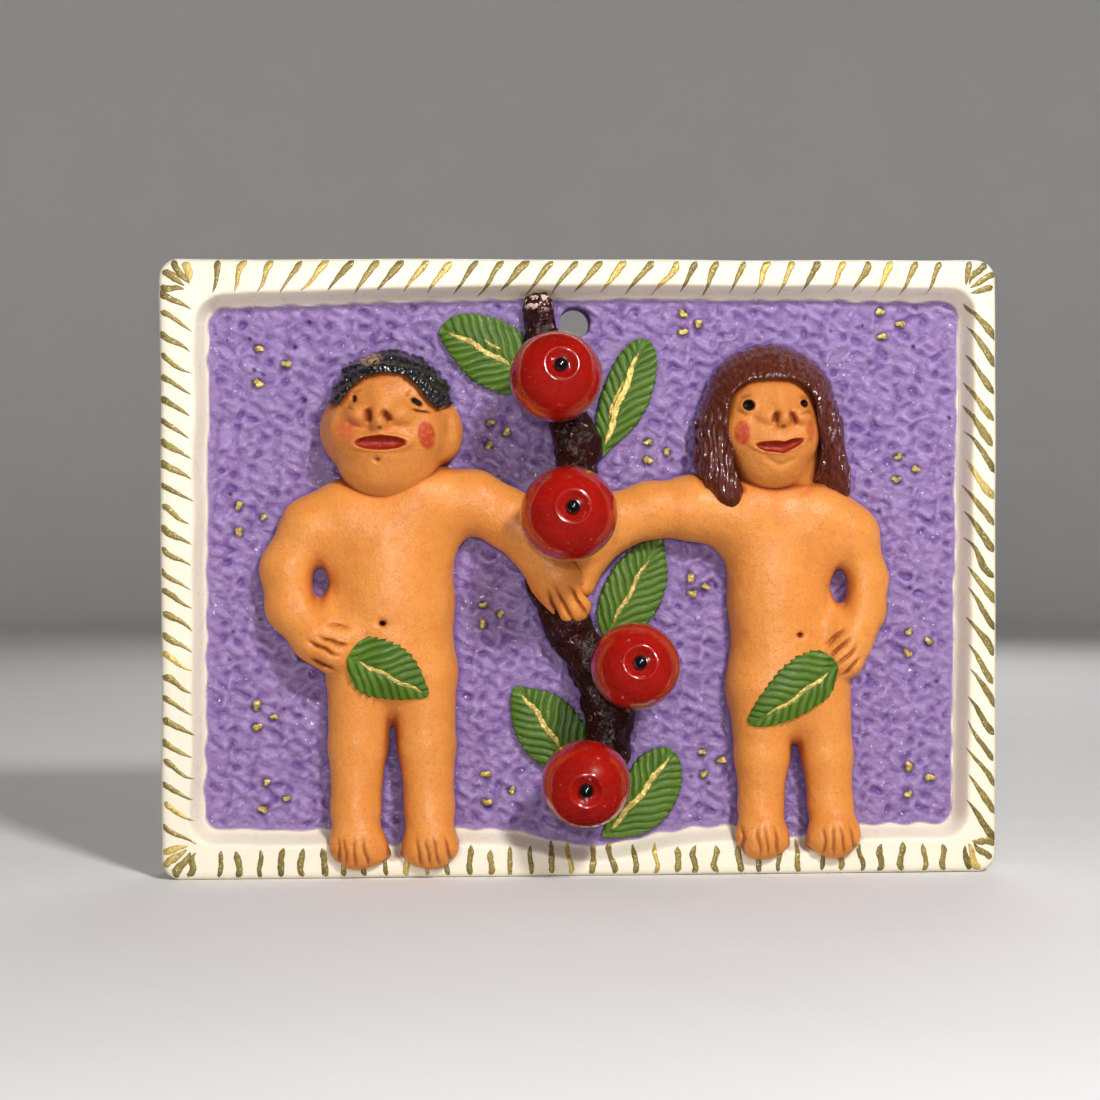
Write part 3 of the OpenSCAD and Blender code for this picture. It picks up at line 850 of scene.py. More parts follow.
def skin_paint():
    paint = Paint("skin_paint", (0.73, 0.265, 0.052), 0.38)
    paint.mottle((8,), 0.4, 0.68, 0.55, (0.79, 0.32, 0.074))
    paint.mottle((5, 3), 0.52, 0.75, 0.45, (0.62, 0.19, 0.04))
    paint.mottle((0.6, 3), 0.52, 0.7, 0.45, (0.52, 0.15, 0.03))
    paint.mottle((0.35, 1), 0.5, 0.7, 0.25, (0.6, 0.18, 0.04))
    # Painted shade: darker orange-brown where the clay closes in, and deep brown in tight creases
    paint.wash("crease_shade", 0.12, 0.5, 0.45, (0.6, 0.17, 0.035))
    paint.wash("crease_shade", 0.3, 1, 0.85, (0.33, 0.06, 0.014))
    patchy = paint.span(paint.noise(1.2), 0.3, 0.55, 0.6, 1)
    paint.layer(paint.times(paint.attribute("rouge"), patchy), (0.5, 0.055, 0.022))
    streaky = paint.span(paint.noise(0.7, 3), 0.34, 0.46, 0.8, 1)
    paint.layer(paint.times(paint.attribute("lips"), streaky), (0.3, 0.005, 0.004))
    # Painted nostrils, lid lines and nose-tip spots, with painted shade in finger and toe grooves, round the noses
    # and under the chins
    paint.layer(paint.attribute("ink_and_shade"), (0.25, 0.055, 0.015))
    # Painted eyes and a lid line, with painted shade in the navels and the chin dimple
    paint.layer(paint.attribute("dark"), (0.012, 0.006, 0.005))
    paint.rough((3, 3), 0.35, 0.7, 0.28, 0.46)
    paint.bump(paint.noise(0.5, 3), 0.16, 0.7)
    paint.bump(paint.noise(2.6), 0.5, 0.5)
    return paint.done()


def hair_paint(color, base, deep, worn):
    """Hair colour with painted shade in the grooves between strands, glossy specks and worn spots."""
    paint = Paint(f"hair_{color}_paint", base, 0.28, coat=1, coat_roughness=0.08)
    # Painted shade in the grooves between strands and where the hair closes in
    paint.wash("crease_shade", 0.3, 1, 0.8, deep)
    paint.mottle((1.3, 3, 0.8), 0.7, 0.73, 0.8, worn)
    paint.layer(paint.times(paint.attribute("worn"), paint.span(paint.noise(0.9), 0.4, 0.5)), worn)
    paint.rough((1.1, 2), 0.35, 0.65, 0.16, 0.42)
    paint.bump(paint.noise(0.7, 2, 0, (1, 1, 0.25)), 0.4, 1)
    paint.bump(paint.noise(0.5, 3), 0.16, 0.8)
    return paint.done()


def bark_paint():
    paint = Paint("bark_paint", (0.028, 0.005, 0.004), 0.3)
    paint.mottle((4,), 0.4, 0.65, 0.85, (0.02, 0.005, 0.004))
    # Painted shade in the bark's creases and where it meets the ground
    paint.wash("crease_shade", 0.3, 1, 0.8, (0.008, 0.002, 0.002))
    paint.mottle((1.2, 3, 0.8), 0.66, 0.68, 0.8, (0.5, 0.26, 0.23))
    chips = paint.span(paint.noise(1.1, 3), 0.53, 0.56)
    paint.layer(paint.times(paint.attribute("worn"), chips), (0.72, 0.45, 0.4))
    paint.rough((1.3, 2), 0.35, 0.65, 0.14, 0.42)
    paint.bump(paint.noise(0.7, 3), 0.4, 0.9)
    return paint.done()


def leaf_paint():
    paint = Paint("leaf_paint", (0.085, 0.17, 0.013), 0.36)
    paint.mottle((7,), 0.35, 0.65, 0.6, (0.045, 0.11, 0.009))
    # Painted light along the crests of the pleats
    paint.wash("ridge", 0.3, 1, 0.3, (0.17, 0.24, 0.03))
    paint.mottle((0.8, 3, 0.5), 0.55, 0.75, 0.35, (0.2, 0.28, 0.06))
    # Painted shade down the grooves between the pleats
    paint.wash("groove", 0.2, 1, 0.55, (0.02, 0.055, 0.006))
    paint.rough((2,), 0.35, 0.65, 0.28, 0.44)
    paint.bump(paint.noise(0.5, 3), 0.14, 0.7)
    return paint.done()


def apple_paint():
    paint = Paint("apple_paint", (0.36, 0.007, 0.003), 0.24, coat=1, coat_roughness=0.04)
    paint.mottle((7,), 0.35, 0.65, 0.6, (0.26, 0.006, 0.004))
    paint.mottle((0.5, 2), 0.6, 0.75, 0.2, (0.5, 0.03, 0.015))
    paint.mottle((0.7, 1), 0.79, 0.8, 0.8, (0.75, 0.4, 0.3))
    paint.rough((1.2, 2), 0.4, 0.65, 0.22, 0.34)
    paint.bump(paint.noise(1.4), 0.05, 0.3)
    return paint.done()


def pin_paint():
    paint = Paint("pin_paint", (0.004, 0.004, 0.005), 0.12, coat=1, coat_roughness=0.04)
    paint.mottle((1,), 0.4, 0.7, 0.5, (0.014, 0.012, 0.012))
    return paint.done()


def gold_paint():
    """Metallic paint that is dull olive where shine is 0 and bright gold where it's 1."""
    paint = Paint("gold_paint", (0.22, 0.17, 0.055), 0.4, metallic=0.25)
    paint.mottle((2.5,), 0.4, 0.62, 0.7, (0.14, 0.11, 0.035))
    paint.layer(paint.attribute("shine"), (0.72, 0.52, 0.15))
    paint.mottle((0.9, 3), 0.46, 0.36, 0.7, (0.3, 0.2, 0.05))
    paint.mottle((0.45, 3), 0.56, 0.7, 0.6, (0.95, 0.78, 0.32))
    paint.rough((0.6, 2), 0.35, 0.65, 0.24, 0.5)
    paint.bump(paint.noise(0.4, 3), 0.14, 0.9)
    return paint.done()


def ground_paint(name):
    """Violet in the recess, cream on the border and sides, and bare clay on the back, with painted light and shade
    on the floor's bumps, painted shade beside figures, in creases and in pits, and painted glints.
    """
    paint = Paint(name, (0.26, 0.163, 0.36), 0.34)
    paint.mottle((12,), 0.35, 0.65, 0.5, (0.235, 0.14, 0.34))
    # Painted light on the tops of the floor's bumps, and painted shade in the hollows between them
    paint.wash("relief", 0.5, 1, 0.5, (0.38, 0.27, 0.53))
    paint.wash("relief", 0.4, 0, 0.75, (0.13, 0.06, 0.24))
    paint.mottle((0.9, 3, 0.4, (0.7, 1, 1)), 0.55, 0.72, 0.4, (0.42, 0.31, 0.58))
    # Painted shade on the floor beside the figures, the trunk and the leaves
    paint.wash("shade_near_figures", 0.1, 1, 0.6, (0.17, 0.085, 0.32))
    # Painted shade in creases on the violet
    paint.wash("crease_shade", 0.2, 0.9, 0.6, (0.12, 0.05, 0.26))
    # Painted glints: small pale specks in clusters over the violet
    clusters = paint.span(paint.noise(16), 0.45, 0.62, 0.1, 0.95)
    painted_glints = paint.times(paint.span(paint.noise(0.9, 1, 0.3), 0.73, 0.74), clusters)
    paint.layer(painted_glints, (0.88, 0.82, 0.9))
    # Painted shade in pits on the floor
    paint.layer(paint.attribute("pit_shade"), (0.04, 0.02, 0.08))
    paint.layer(paint.attribute("cream"), (0.87, 0.79, 0.63))
    # Painted shade in the cream border's creases
    shaded = paint.times(paint.attribute("cream"), paint.span(paint.attribute("crease_shade"), 0.15, 0.9, 0, 0.5))
    paint.layer(shaded, (0.5, 0.42, 0.33))
    paint.layer(paint.attribute("bare"), (0.5, 0.22, 0.11))
    stained = paint.span(paint.noise(9, 4, 0.5), 0.42, 0.62, 0, 0.55)
    paint.layer(paint.times(paint.attribute("bare"), stained), (0.36, 0.15, 0.075))
    paint.rough((2.2, 3), 0.35, 0.65, 0.26, 0.48)
    rougher = paint.span(paint.attribute("cream"), 0, 1, 1, 0.2)
    paint.bump(paint.times(paint.noise(0.8, 3, 0.4, (0.7, 1, 1)), rougher), 0.34, 0.8)
    return paint.done()


# --- building the pieces ---

FINISHES = {
    "skin": skin_paint(),
    "hair_black": hair_paint("black", (0.012, 0.011, 0.013), (0.004,) * 3, (0.42, 0.24, 0.11)),
    "hair_brown": hair_paint("brown", (0.095, 0.018, 0.009), (0.03, 0.006, 0.004), (0.3, 0.13, 0.1)),
    "bark": bark_paint(),
    "leaf_green": leaf_paint(),
    "apple_red": apple_paint(),
    "gold_paint": gold_paint(),
}


def build_plaque():
    margins = (-HALF_WIDTH - 1.5, -1.5), (HALF_WIDTH + 1.5, HEIGHT + 1.5)
    for node, shape, low, high, slot in (
        ("base_slab", base_slab, BACK - 1.5, 1.5, "violet_ground"),
        ("raised_border", raised_border, -LAP - 1.6, RISE + 2, "cream_border"),
    ):
        piece = sculpt(node + "_clay", shape, (*margins[0], low), (*margins[1], high), PLAQUE_STEP)
        p = vertex_points(piece)
        paint_edge = recess_gap(p) + 0.2 * lumps(p, 3, 51, flat=True)
        set_attribute(piece, "cream", paint_edge / 0.5 + 0.5)
        set_attribute(piece, "bare", (BACK + BACK_ROUND - p.h + 0.4 * lumps(p, 6, 52)) / 0.5)
        # For the paint: the bumps' height for painted light and shade, then painted shade beside the figures, in
        # pits and in creases
        set_attribute(piece, "relief", ground_relief(p) / RELIEF_REACH / 2 + 0.5)
        set_attribute(piece, "shade_near_figures", 1 - clear_of_figures(p) / 2.2)
        set_attribute(piece, "pit_shade", paint_pit_shade(p))
        add_crease_shade(piece)
        finish_piece(piece, ground_paint(node + "_paint"), slot, [node])


def paint_pit_shade(p):
    """Painted shade in pits, which the mesh doesn't carve: round the dots of gold paint, and small ones scattered
    over the floor.
    """
    pits = np.zeros(len(p.x))
    for x, z, size in DOTS:
        pits = np.maximum(pits, 0.85 * inside(spot(p, x - 0.15, z - 0.15, 1.2 * size, 1.15 * size), 0.5))
    rng = np.random.default_rng(12)
    for x, z, size in rng.uniform((-86, 6, 0.25), (86, 130, 0.6), (110, 3)):
        pits = np.maximum(pits, inside(spot(p, x, z, size, size), 0.9))
    return pits


def drawn(lines, width, soft=0.6, strength=1.0):
    """A mark along lines across the face."""
    def mark(p):
        depth = np.max([groove(p, *line, width) for line in lines], axis=0)
        return strength * np.clip((depth - 0.45) / soft + 0.5, 0, 1)
    return mark


def shaded_grooves(lines):
    """Painted shade: a brown line at the bottom of the grooves between fingers or toes."""
    return lambda p: 0.7 * drawn(lines, 0.34, 0.8)(unsteady(p))


def toes_of(body):
    return [line for measures in body.feet for line in measures[-1]]


def blob(x, z, half_x, half_z, turn=0.0, soft=0.3, strength=1.0):
    """A mark over an oval on the face."""
    return lambda p: strength * inside(spot(p, x, z, half_x, half_z, turn), soft)


def eve_smile(p):
    return inside(spot(smiling(p), 44.7, 97.5, 5.4, 1.35))


# Where a piece's paint differs, and where shade is painted on it: the marks that make up each attribute that its
# paint reads
MARKS = {
    # Painted shade in the grooves between toes and fingers, and in the navel
    "adam_torso": {"ink_and_shade": [shaded_grooves(toes_of(ADAM))], "dark": [blob(-44.8, 57.9, 0.8, 0.6)]},
    "adam_arm_on_hip": {"ink_and_shade": [shaded_grooves(ADAM.fingers)]},
    "adam_arm_reaching": {"ink_and_shade": [shaded_grooves(JOINED_FINGERS)]},
    "adam_head": {
        "rouge": [blob(-35.2, 100.4, 1.9, 3.1, 8), blob(-52.8, 101.8, 2.3, 3, 0, 0.9, 0.65)],
        "lips": [blob(-45.4, 98.7, 5.8, 1.65, soft=0.15)],
        # Painted eyes and a lid line, and painted shade in the chin dimple
        "dark": [
            drawn(ADAM_EYES[:1], 0.72, 0.3), drawn(ADAM_EYES[1:], 0.5, 0.4), drawn(ADAM_LIDS[:1], 0.3),
            blob(-46.1, 95, 0.6, 0.45, strength=0.6),
        ],
        # Painted nostrils, lid lines and a spot on the nose tip, with painted shade beside and round the nose and
        # under the chin
        "ink_and_shade": [
            drawn(ADAM_NOSTRILS, 0.7, 1.5, 0.9), drawn(ADAM_LIDS[1:], 0.3, 0.8, 0.6),
            blob(-45.5, 102, 0.6, 0.45, soft=0.8), blob(-49.6, 103.4, 1.6, 1.2, 0, 1.2, 0.35),
            blob(-46, 103.6, 6.4, 2.4, -4, 1.9, 0.34), blob(-44.6, 88.4, 9, 3, 0, 1.6, 0.3),
        ],
    },
    "adam_hair": {"worn": [blob(-47.6, 117, 2.4, 1.4, soft=0.8)]},
    # Painted shade in the grooves between toes and fingers, and in the navel
    "eve_torso": {"ink_and_shade": [shaded_grooves(toes_of(EVE))], "dark": [blob(49.1, 54.7, 0.7, 0.5, strength=0.7)]},
    "eve_arm_on_hip": {"ink_and_shade": [shaded_grooves(EVE.fingers)]},
    "eve_head": {
        "rouge": [blob(36.5, 100.6, 1.7, 2.7), blob(51.8, 101, 1, 2.5, 0, 0.4, 0.7)],
        "lips": [eve_smile],
        "dark": [blob(38, 106.8, 1.3, 1.25, soft=0.25), blob(50.6, 107.2, 0.9, 0.9, soft=0.25)],
        # Painted nostrils, lid lines and a spot on the nose tip, with painted shade round the nose and under the
        # chin
        "ink_and_shade": [
            drawn(EVE_NOSTRILS, 0.6, 1.5, 0.9), drawn(EVE_LIDS, 0.28, 0.8, 0.6),
            blob(45.3, 102, 0.6, 0.45, soft=0.8), blob(45.6, 103.2, 4.6, 2, 0, 1.9, 0.3),
            blob(44.8, 90.4, 6, 2.4, 0, 1.6, 0.25),
        ],
    },
}
HEADS_AT = {"adam_head": ADAM_HEAD_AT, "eve_head": EVE_HEAD_AT}


def build_figures():
    adam_arms, eve_arms = both(adam_arm_hip, adam_arm_reach), both(eve_arm_hip, eve_arm_reach)
    for node, shape, low, high, slot in (
        ("adam_torso", joined(adam_torso, adam_arms), (-66, -1), (-20, 97), "skin"),
        ("adam_arm_on_hip", joined(adam_arm_hip, adam_torso), (-75, 40), (-42, 96), "skin"),
        ("adam_arm_reaching", joined(adam_arm_reach, adam_torso), (-52, 54), (8, 100), "skin"),
        ("adam_head", adam_head, (-62, 83), (-24, 121), "skin"),
        ("adam_hair", adam_hair, (-62, 103), (-26, 123), "hair_black"),
        ("eve_torso", joined(eve_torso, eve_arms), (24, 0), (69, 97), "skin"),
        ("eve_arm_on_hip", joined(eve_arm_hip, eve_torso), (43, 40), (73, 94), "skin"),
        ("eve_arm_reaching", joined(eve_arm_reach, eve_torso), (-8, 58), (52, 97), "skin"),
        ("eve_head", eve_head, (31, 84), (57, 118), "skin"),
        ("eve_hair", eve_hair, (22, 80), (65, 125), "hair_brown"),
    ):
        piece = sculpt(node + "_clay", on_floor(shape), (*low, UNDER), (*high, HEAD_TOP), FIGURE_STEP)
        add_crease_shade(piece, 4.5)
        p = moved(vertex_points(piece), *HEADS_AT.get(node, (0, 0)))
        for name, marks in MARKS.get(node, {}).items():
            set_attribute(piece, name, np.max([mark(p) for mark in marks], axis=0))
        finish_piece(piece, FINISHES[slot], slot, [node])


def build_trunk():
    piece = sculpt("tree_trunk_clay", on_floor(tree_trunk), (-16, 8, UNDER), (19, 135, 9), TRUNK_STEP)
    add_crease_shade(piece)
    p = vertex_points(piece)
    set_attribute(piece, "worn", inside(spot(p, -9.6, 131, 4, 2.6), 0.5))
    finish_piece(piece, FINISHES["bark"], "bark", ["tree_trunk"])


# --- leaves ---

LEAF_ROWS, LEAF_COLUMNS = 120, 61


def leaf_axes(leaf):
    """A leaf's length, and the directions along it and to its left across the face."""
    along = np.subtract(leaf.tip, leaf.base)
    length = np.hypot(*along)
    along = along / length
    return length, along, np.array([-along[1], along[0]])


def leaf_turns(t):
    """Shares of the length as shares of a half turn, so that widths fall off roundly at the ends."""
    return np.arccos(1 - 2 * np.asarray(t, float)) / math.pi


def leaf_half(widths, t):
    """The half width on one side at shares t of the length, from the widths at LEAF_SHARES."""
    turns = leaf_turns(LEAF_SHARES)
    places = (-turns[0], 0, *turns, 1, 2 - turns[-1])
    halves = (-widths[0], 0, *widths, 0, -widths[-1])
    nearby = [np.interp(leaf_turns(t) + d, places, halves) for d in np.linspace(-0.07, 0.07, 9)]
    return np.mean(nearby, axis=0)


def leaf_gap(p, leaf):
    """Distance across the face to a leaf's edge, roughly."""
    length, along, left = leaf_axes(leaf)
    x, z = p.x - leaf.base[0], p.z - leaf.base[1]
    far = x * along[0] + z * along[1]
    side = x * left[0] + z * left[1]
    t = np.clip(far / length, 0, 1)
    half = np.where(side > 0, leaf_half(leaf.left, t), leaf_half(leaf.right, t))
    beyond = far - t * length
    return np.hypot(np.maximum(np.abs(side) - half, 0), beyond) - np.maximum(half - np.abs(side), 0)


def leaf_place(leaf, t, side):
    """The place on the face at share t of a leaf and side millimetres to the left of its rib."""
    length, along, left = leaf_axes(leaf)
    side = side + leaf.rib * np.sin(math.pi * t) ** 0.5
    return [b + a * t * length + c * side for b, a, c in zip(leaf.base, along, left)]


def smoothed(values, passes):
    """A grid of numbers with each one averaged with its neighbours, over and over."""
    for _ in range(passes):
        wide = np.pad(values, 1, mode="edge")
        beside = wide[:-2, 1:-1] + wide[2:, 1:-1] + wide[1:-1, :-2] + wide[1:-1, 2:]
        values = (beside + 2 * values) / 6
    return values


def leaf_sides(leaf, t, v):
    """How far to the left of the rib the places are at shares v of the way to the edges."""
    bend = leaf.rib * np.sin(math.pi * t) ** 0.5
    half = np.where(v > 0, leaf_half(leaf.left, t) - bend, leaf_half(leaf.right, t) + bend)
    teeth = (t * leaf_axes(leaf)[0] / TOOTH_PITCH + 0.5 * (v > 0)) % 1 - 0.5
    return v * np.maximum(half, 0.02) * (1 + 0.11 * teeth * np.abs(v) ** 5)


def build_leaf(leaf, under, thickness):
    t = (1 - np.cos(np.linspace(0.03, math.pi - 0.03, LEAF_ROWS))) / 2
    t, v = np.meshgrid(t, np.linspace(-1, 1, LEAF_COLUMNS), indexing="ij")
    side = leaf_sides(leaf, t, v)
    x, z = leaf_place(leaf, t, side)
    clay = surface(under, x, z)
    ground = smoothed(np.maximum(smoothed(clay, 80), clay), 8)
    phase = (t * leaf_axes(leaf)[0] - 1.05 * np.abs(side)) / PLEAT_PITCH + 0.35 * (v > 0)
    phase = phase + 0.08 * np.sin(0.9 * x) + 0.07 * np.sin(1.1 * z)
    vein = np.abs(phase % 1 - 0.5) * 2
    groove = np.exp(-((vein / 0.36) ** 2)) * np.clip(np.abs(side) / 0.9, 0, 1)
    dome = np.sqrt(np.clip(1 - 0.8 * v * v, 0, 1)) * np.sin(math.pi * np.clip(t, 0.04, 0.96)) ** 0.3
    valley = 0.45 * np.exp(-((side / 0.8) ** 2))
    height = ground + leaf.lift + thickness * dome - 0.36 * groove - valley
    height[:, [0, -1]] -= 0.35
    vertices, faces = solid_patch(x, z, height, np.minimum(ground, height) - 0.4)
    piece = new_piece(leaf.node + "_clay", vertices, faces)
    plain = np.zeros(groove.size)
    # For the paint: the grooves, where shade is painted, and the crests between them, where light is painted
    set_attribute(piece, "groove", np.concatenate([groove.ravel(), plain]))
    set_attribute(piece, "ridge", np.concatenate([((1 - groove) * vein).ravel(), plain]))
    finish_piece(piece, FINISHES["leaf_green"], "leaf_green", [leaf.node])
    return [rib_patch(leaf, t[:, 0], side, height, streak) for streak in leaf.gold]


def rib_patch(leaf, t, side, height, streak):
    """A streak of gold paint along a leaf: where it starts and ends, how far to the left, and its width."""
    start, end, left, width = streak
    s, w = np.meshgrid(np.linspace(start, end, 60), np.linspace(-1, 1, 7), indexing="ij")
    share = (s - start) / (end - start)
    swell = np.sqrt(np.clip(np.minimum(share * 6, (1 - share) * 4), 0.03, 1))
    ragged = 1 + 0.14 * np.sin(57 * s + leaf.base[0]) + 0.1 * np.sin(131 * s)
    out = left + 0.25 * np.sin(17 * s + leaf.base[1]) + w * width / 2 * swell * ragged
    rise = np.empty_like(out)
    for i in range(len(out)):
        row = np.argmin(np.abs(t - s[i, 0]))
        rise[i] = np.interp(out[i], side[row], height[row])
    rise = rise + 0.08 + 0.14 * (1 - w * w)
    x, z = leaf_place(leaf, s, out)
    return *solid_patch(x, z, rise, rise - 0.5), leaf.shine


def build_leaves():
    def floor_or_trunk(p):
        return np.minimum(tree_trunk(p) + 1.2, p.h)

    def adam_hip(p):
        return np.minimum(smooth_min(adam_torso(p), adam_arm_hip(p), 3), p.h)

    def eve_hip(p):
        return np.minimum(smooth_min(eve_torso(p), eve_arm_hip(p), 3), p.h)

    patches = []
    for leaf in TREE_LEAVES:
        patches += build_leaf(leaf, floor_or_trunk, 1.5)
    for leaf, hip in zip(FIG_LEAVES, (adam_hip, eve_hip)):
        patches += build_leaf(leaf, hip, 0.7)
    finish_piece(joined_patches("leaf_midribs", patches), FINISHES["gold_paint"], "gold_paint")


# --- apples ---

BEAD_RINGS, BEAD_SIDES = 96, 96
BORE_R, DIMPLE_R, DIMPLE_DEPTH, SQUAT = 1.06, 5.2, 2, 0.98


def bead_profile(radius):
    """Distances from the axis and along it, from the bore's front mouth round to its back one."""
    start = math.asin(BORE_R / radius)
    angle = start + (math.pi - 2 * start) * np.linspace(0, 1, BEAD_RINGS) ** 1.5
    out, along = radius * np.sin(angle), radius * np.cos(angle)
    hollow = radius - DIMPLE_DEPTH + DIMPLE_R - np.sqrt(np.maximum(DIMPLE_R**2 - out**2, 0))
    front = smooth_min(along, hollow, 0.7) + 0.2 * np.exp(-(((out - 3.7) / 0.8) ** 2))
    back = along + 1.1 * np.exp(-((out / 2.2) ** 2))
    return out, np.where(angle < math.pi / 2, front, back)


def build_apples():
    for number, joint in enumerate(frame["joints"], 1):
        low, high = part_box(f"apple_{number}")
        out, along = bead_profile((high.x - low.x) / 2 / MM)
        places, faces = turned(out, along, np.array(Vector(joint["axis"]).normalized()), BEAD_SIDES)
        places = np.array(joint["pos_m"]) + MM * places * (1, 1, SQUAT)
        piece = new_piece(f"apple_{number}_bead", places.reshape(-1, 3), faces.reshape(-1, 4))
        finish_piece(piece, FINISHES["apple_red"], "apple_red", [f"apple_{number}"], f"apple_{number}")


def paint_pins():
    material = pin_paint()
    for number in range(1, 5):
        pin = frame["nodes"][f"apple_pin_{number}"]
        pin.data.materials.clear()
        pin.data.materials.append(material)


# --- gold paint ---

# A brush stroke from start to end: its width, the share of it that narrows to a point, and how likely it is
# to be bright gold
Stroke = namedtuple("Stroke", "start end width point bright")
TOP_EDGE, SIDE_EDGE = HEIGHT - 0.6, HALF_WIDTH - 0.6

# How high a stroke's edges stand over the clay, how much higher its middle is, and how thick it is
STROKE_LIFT, STROKE_DOME, STROKE_THICKNESS = 0.07, 0.12, 0.4


def side_strokes():
    """The strokes along the border's four sides, each leaning as its side's were painted."""
    strokes = []
    for x in np.arange(-82, 85, 5.6):
        lean = 2.7 * np.clip((x + 84) / 20, 0.2, 1) * (0.55 if x > 20 else 1)
        strokes.append(Stroke((x + 1.1 * lean, TOP_EDGE), (x - 1.1 * lean, HEIGHT - 7.7), 1.6, 0.85, 0.4))
    for z in np.arange(10.5, 132, 4.8):
        strokes.append(Stroke((-SIDE_EDGE, z + 2.2), (7.4 - HALF_WIDTH, z - 2.2), 1.6, 0.9, 0.15))
    for z in np.arange(12, 132, 6):
        strokes.append(Stroke((SIDE_EDGE, z - 4.6), (HALF_WIDTH - 6.8, z + 4.6), 1.55, 0.7, 0.15))
    for x in np.arange(-82, 84, 4.7):
        strokes.append(Stroke((x, 0.5), (x - 0.2, 7), 1.25, 0.2, 0.1))
    return strokes


def corner_strokes():
    """Four strokes that fan out at each corner."""
    strokes = []
    for corner_x, corner_z, first in ((-1, 1, 90), (1, 1, 0), (1, -1, 270), (-1, -1, 180)):
        centre = np.array([corner_x * (HALF_WIDTH - 8), HEIGHT - 8 if corner_z > 0 else 8])
        for angle in (12, 33, 55, 78):
            turn = math.radians(first + angle)
            way = np.array([math.cos(turn), math.sin(turn)])
            reach = min(7.2 / np.abs(way).max(), 8.6)
            strokes.append(Stroke(centre + reach * way, centre + 2 * way, 1.6, 0.5, 0.2))
    return strokes


def build_strokes():
    rng = np.random.default_rng(7)
    strokes = side_strokes() + corner_strokes()
    s, w = np.meshgrid(np.linspace(0, 1, 22), np.linspace(-1, 1, 7), indexing="ij")
    xs, zs, shine = [], [], []
    for stroke in strokes:
        start = stroke.start + rng.normal(0, (0.3, 0.15))
        along = stroke.end + rng.normal(0, (0.3, 0.3)) - start
        left = np.array([-along[1], along[0]]) / np.hypot(*along)
        taper = np.clip((1 - s) / stroke.point, 0, 1) ** 0.6
        breadth = taper * np.sqrt(np.clip(s * 9, 0.03, 1)) * rng.uniform(0.8, 1.2)
        ragged = 1 + 0.08 * np.sin(11 * s + rng.uniform(0, 6))
        ragged = ragged + 0.06 * w * np.sin(23 * s + rng.uniform(0, 6))
        side = w * np.maximum(breadth, 0.06) * stroke.width / 2 * ragged
        side = side + rng.normal(0, 0.25) * np.sin(math.pi * s)
        side = side + rng.normal(0, 0.2) * np.sin(2 * math.pi * s)
        xs.append(start[0] + along[0] * s + left[0] * side)
        zs.append(start[1] + along[1] * s + left[1] * side)
        shine.append(rng.uniform(0.6, 1) if rng.uniform() < stroke.bright else rng.uniform(0, 0.25))
    xs = np.clip(xs, -SIDE_EDGE, SIDE_EDGE)
    zs = np.clip(zs, HEIGHT - TOP_EDGE, TOP_EDGE)
    rise = surface(plaque, xs, zs, RISE + 1) + STROKE_LIFT + STROKE_DOME * (1 - w * w)
    patches = [
        (*solid_patch(x, z, h, h - STROKE_THICKNESS), bright) for x, z, h, bright in zip(xs, zs, rise, shine)
    ]
    finish_piece(joined_patches("border_strokes", patches), FINISHES["gold_paint"], "gold_paint")


def dot_patch(x, z, size, rng):
    """A small rough flake of gold paint on the ground."""
    around = np.linspace(0, 2 * math.pi, 18, endpoint=False)[:, None]
    out = np.linspace(0.02, 1, 6)[None, :]
    lobes = 0.26 * np.sin(2 * around + rng.uniform(0, 6)) + 0.16 * np.sin(3 * around + rng.uniform(0, 6))
    radius = size * (1 + lobes + 0.07 * rng.normal(size=around.shape))
    x, z = x + radius * out * np.cos(around), z + radius * out * np.sin(around) * 0.9
    ground = ground_relief(Points(x, z, 0.0 * x)) * 0.5
    rise = ground + 0.42 * size * np.sqrt(1.02 - out * out) + 0.05 * rng.normal(size=x.shape)
    bright = np.clip(0.7 + 0.8 * out * np.cos(around - rng.uniform(0, 6)), 0, 1)
    *places, bright = [np.concatenate([grid, grid[:1]]) for grid in (x, z, rise, ground - 0.4, bright)]
    return *solid_patch(*places), np.tile(bright.ravel(), 2)


def build_dots():
    rng = np.random.default_rng(10)
    patches = [dot_patch(x, z, 0.85 * size, rng) for x, z, size in DOTS]
    finish_piece(joined_patches("ground_dots", patches), FINISHES["gold_paint"], "gold_paint")


# --- the studio ---

CAMERA_AIM = Vector((-0.00714, FLOOR_Y - RISE * MM, 0.07407))
CAMERA_PLACE = Vector((-0.0289, -0.5075, 0.0816))
CAMERA_ROLL = -0.18

# The camera's distance from the border, and how wide the picture is there, in millimetres
CAMERA_DISTANCE, VIEW_WIDTH = 500, 248.53


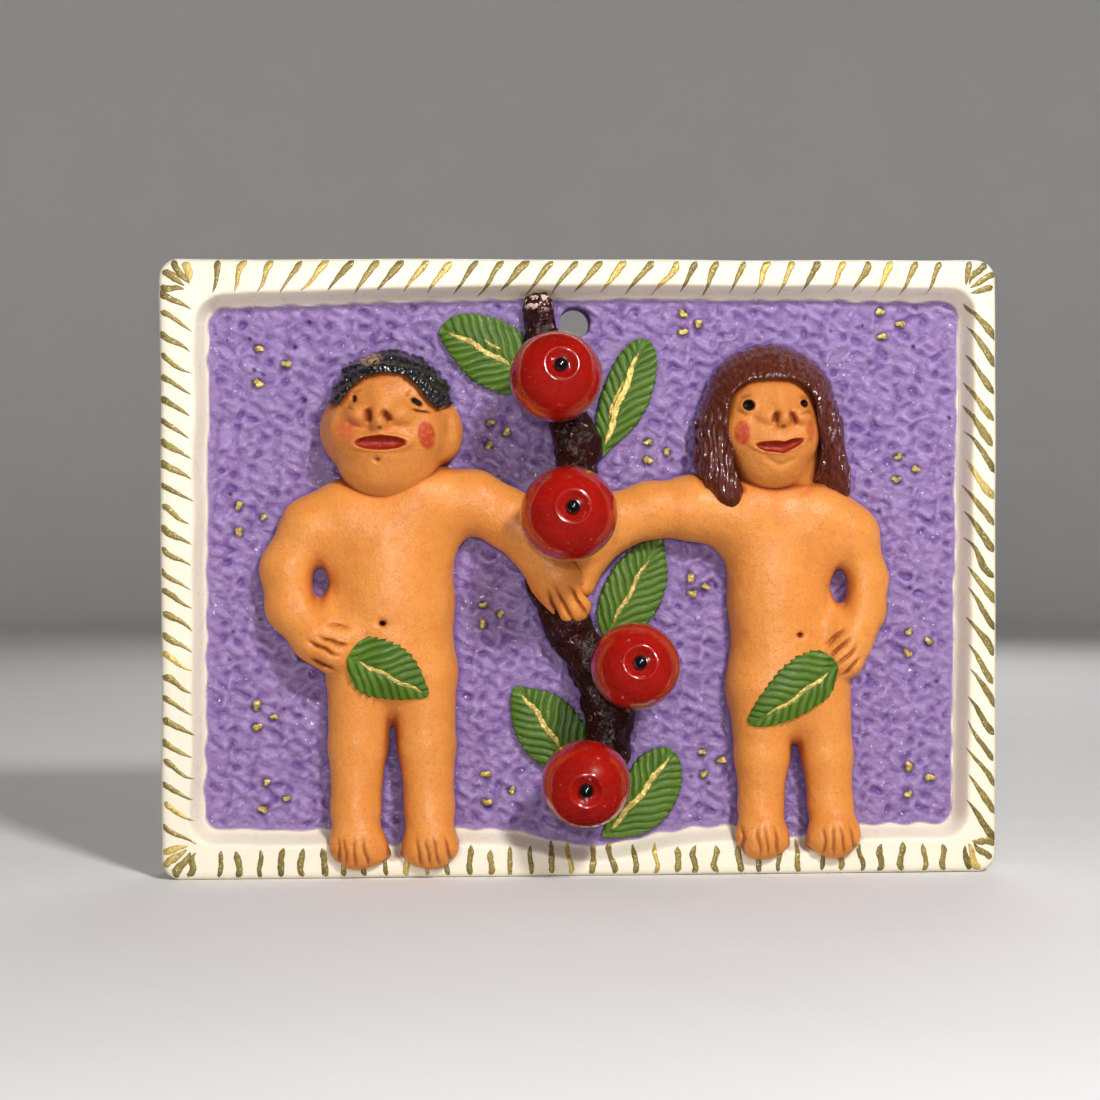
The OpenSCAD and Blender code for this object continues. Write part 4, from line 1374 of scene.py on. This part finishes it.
def build_camera():
    data = bpy.data.cameras.new("camera")
    camera = bpy.data.objects.new("camera", data)
    bpy.context.scene.collection.objects.link(camera)
    camera.location = CAMERA_PLACE
    facing = (CAMERA_AIM - CAMERA_PLACE).to_track_quat("-Z", "Y")
    roll = Quaternion((0, 0, 1), math.radians(CAMERA_ROLL))
    camera.rotation_euler = (facing @ roll).to_euler()
    data.sensor_width = 36
    data.lens = data.sensor_width * CAMERA_DISTANCE / VIEW_WIDTH
    data.clip_start = 0.01
    bpy.context.scene.camera = camera


def build_studio():
    build_backdrop()
    add_light("key_light", (0.27, -0.62, 0.54), 0.1, 5.6)
    add_light("front_light", (-0.06, -0.6, 0.16), 0.03, 0.75)
    add_light("glint_light", (-0.03, -0.6, 0.12), 0.045, 1.4).visible_diffuse = False
    add_light("fill_light", (-0.5, -0.55, 0.25), 0.5, 0.5).visible_glossy = False
    add_light("back_light", (0.2, 0.7, 0.5), 0.5, 2)
    world = bpy.data.worlds.new("studio")
    world.use_nodes = True
    background = world.node_tree.nodes["Background"].inputs
    background["Color"].default_value = (0.95, 0.96, 1, 1)
    background["Strength"].default_value = 0.12
    bpy.context.scene.world = world
    world.cycles_visibility.glossy = False
    bpy.context.scene.view_settings.view_transform = "Standard"


def add_light(name, place, size, power):
    """A square light at a place and size in metres, with a power in watts, aimed at the plaque's middle."""
    data = bpy.data.lights.new(name, "AREA")
    data.size = size
    data.energy = power
    light = bpy.data.objects.new(name, data)
    light.location = place
    light.rotation_euler = (Vector((0, 0, 0.07)) - Vector(place)).to_track_quat("-Z", "Y").to_euler()
    bpy.context.scene.collection.objects.link(light)
    return light


def build_backdrop():
    """A round pale floor in metres, which sweeps up into a wall well away from the plaque."""
    radius, sweep, wall, sides = 1.2, 0.35, 4, 96
    bend = np.linspace(0, math.pi / 2, 24)
    out = np.array([0, radius / 2, *(radius + sweep * np.sin(bend)), radius + sweep])
    up = np.array([0, 0, *(sweep - sweep * np.cos(bend)), wall])
    places, faces = turned(out, up, np.array([0, 0, 1.0]), sides)
    floor = new_piece("backdrop", places.reshape(-1, 3), faces[:, :-1].reshape(-1, 4))
    paint = Paint("backdrop_paint", (0.8, 0.79, 0.78), 0.8)
    paint.mottle((60,), 0.3, 0.7, 0.3, (0.76, 0.755, 0.75))
    floor.data.materials.append(paint.done())
    floor.data.shade_smooth()
    floor.visible_glossy = False


build_camera()
build_plaque()
build_figures()
build_trunk()
build_leaves()
build_apples()
paint_pins()
build_strokes()
build_dots()
build_studio()
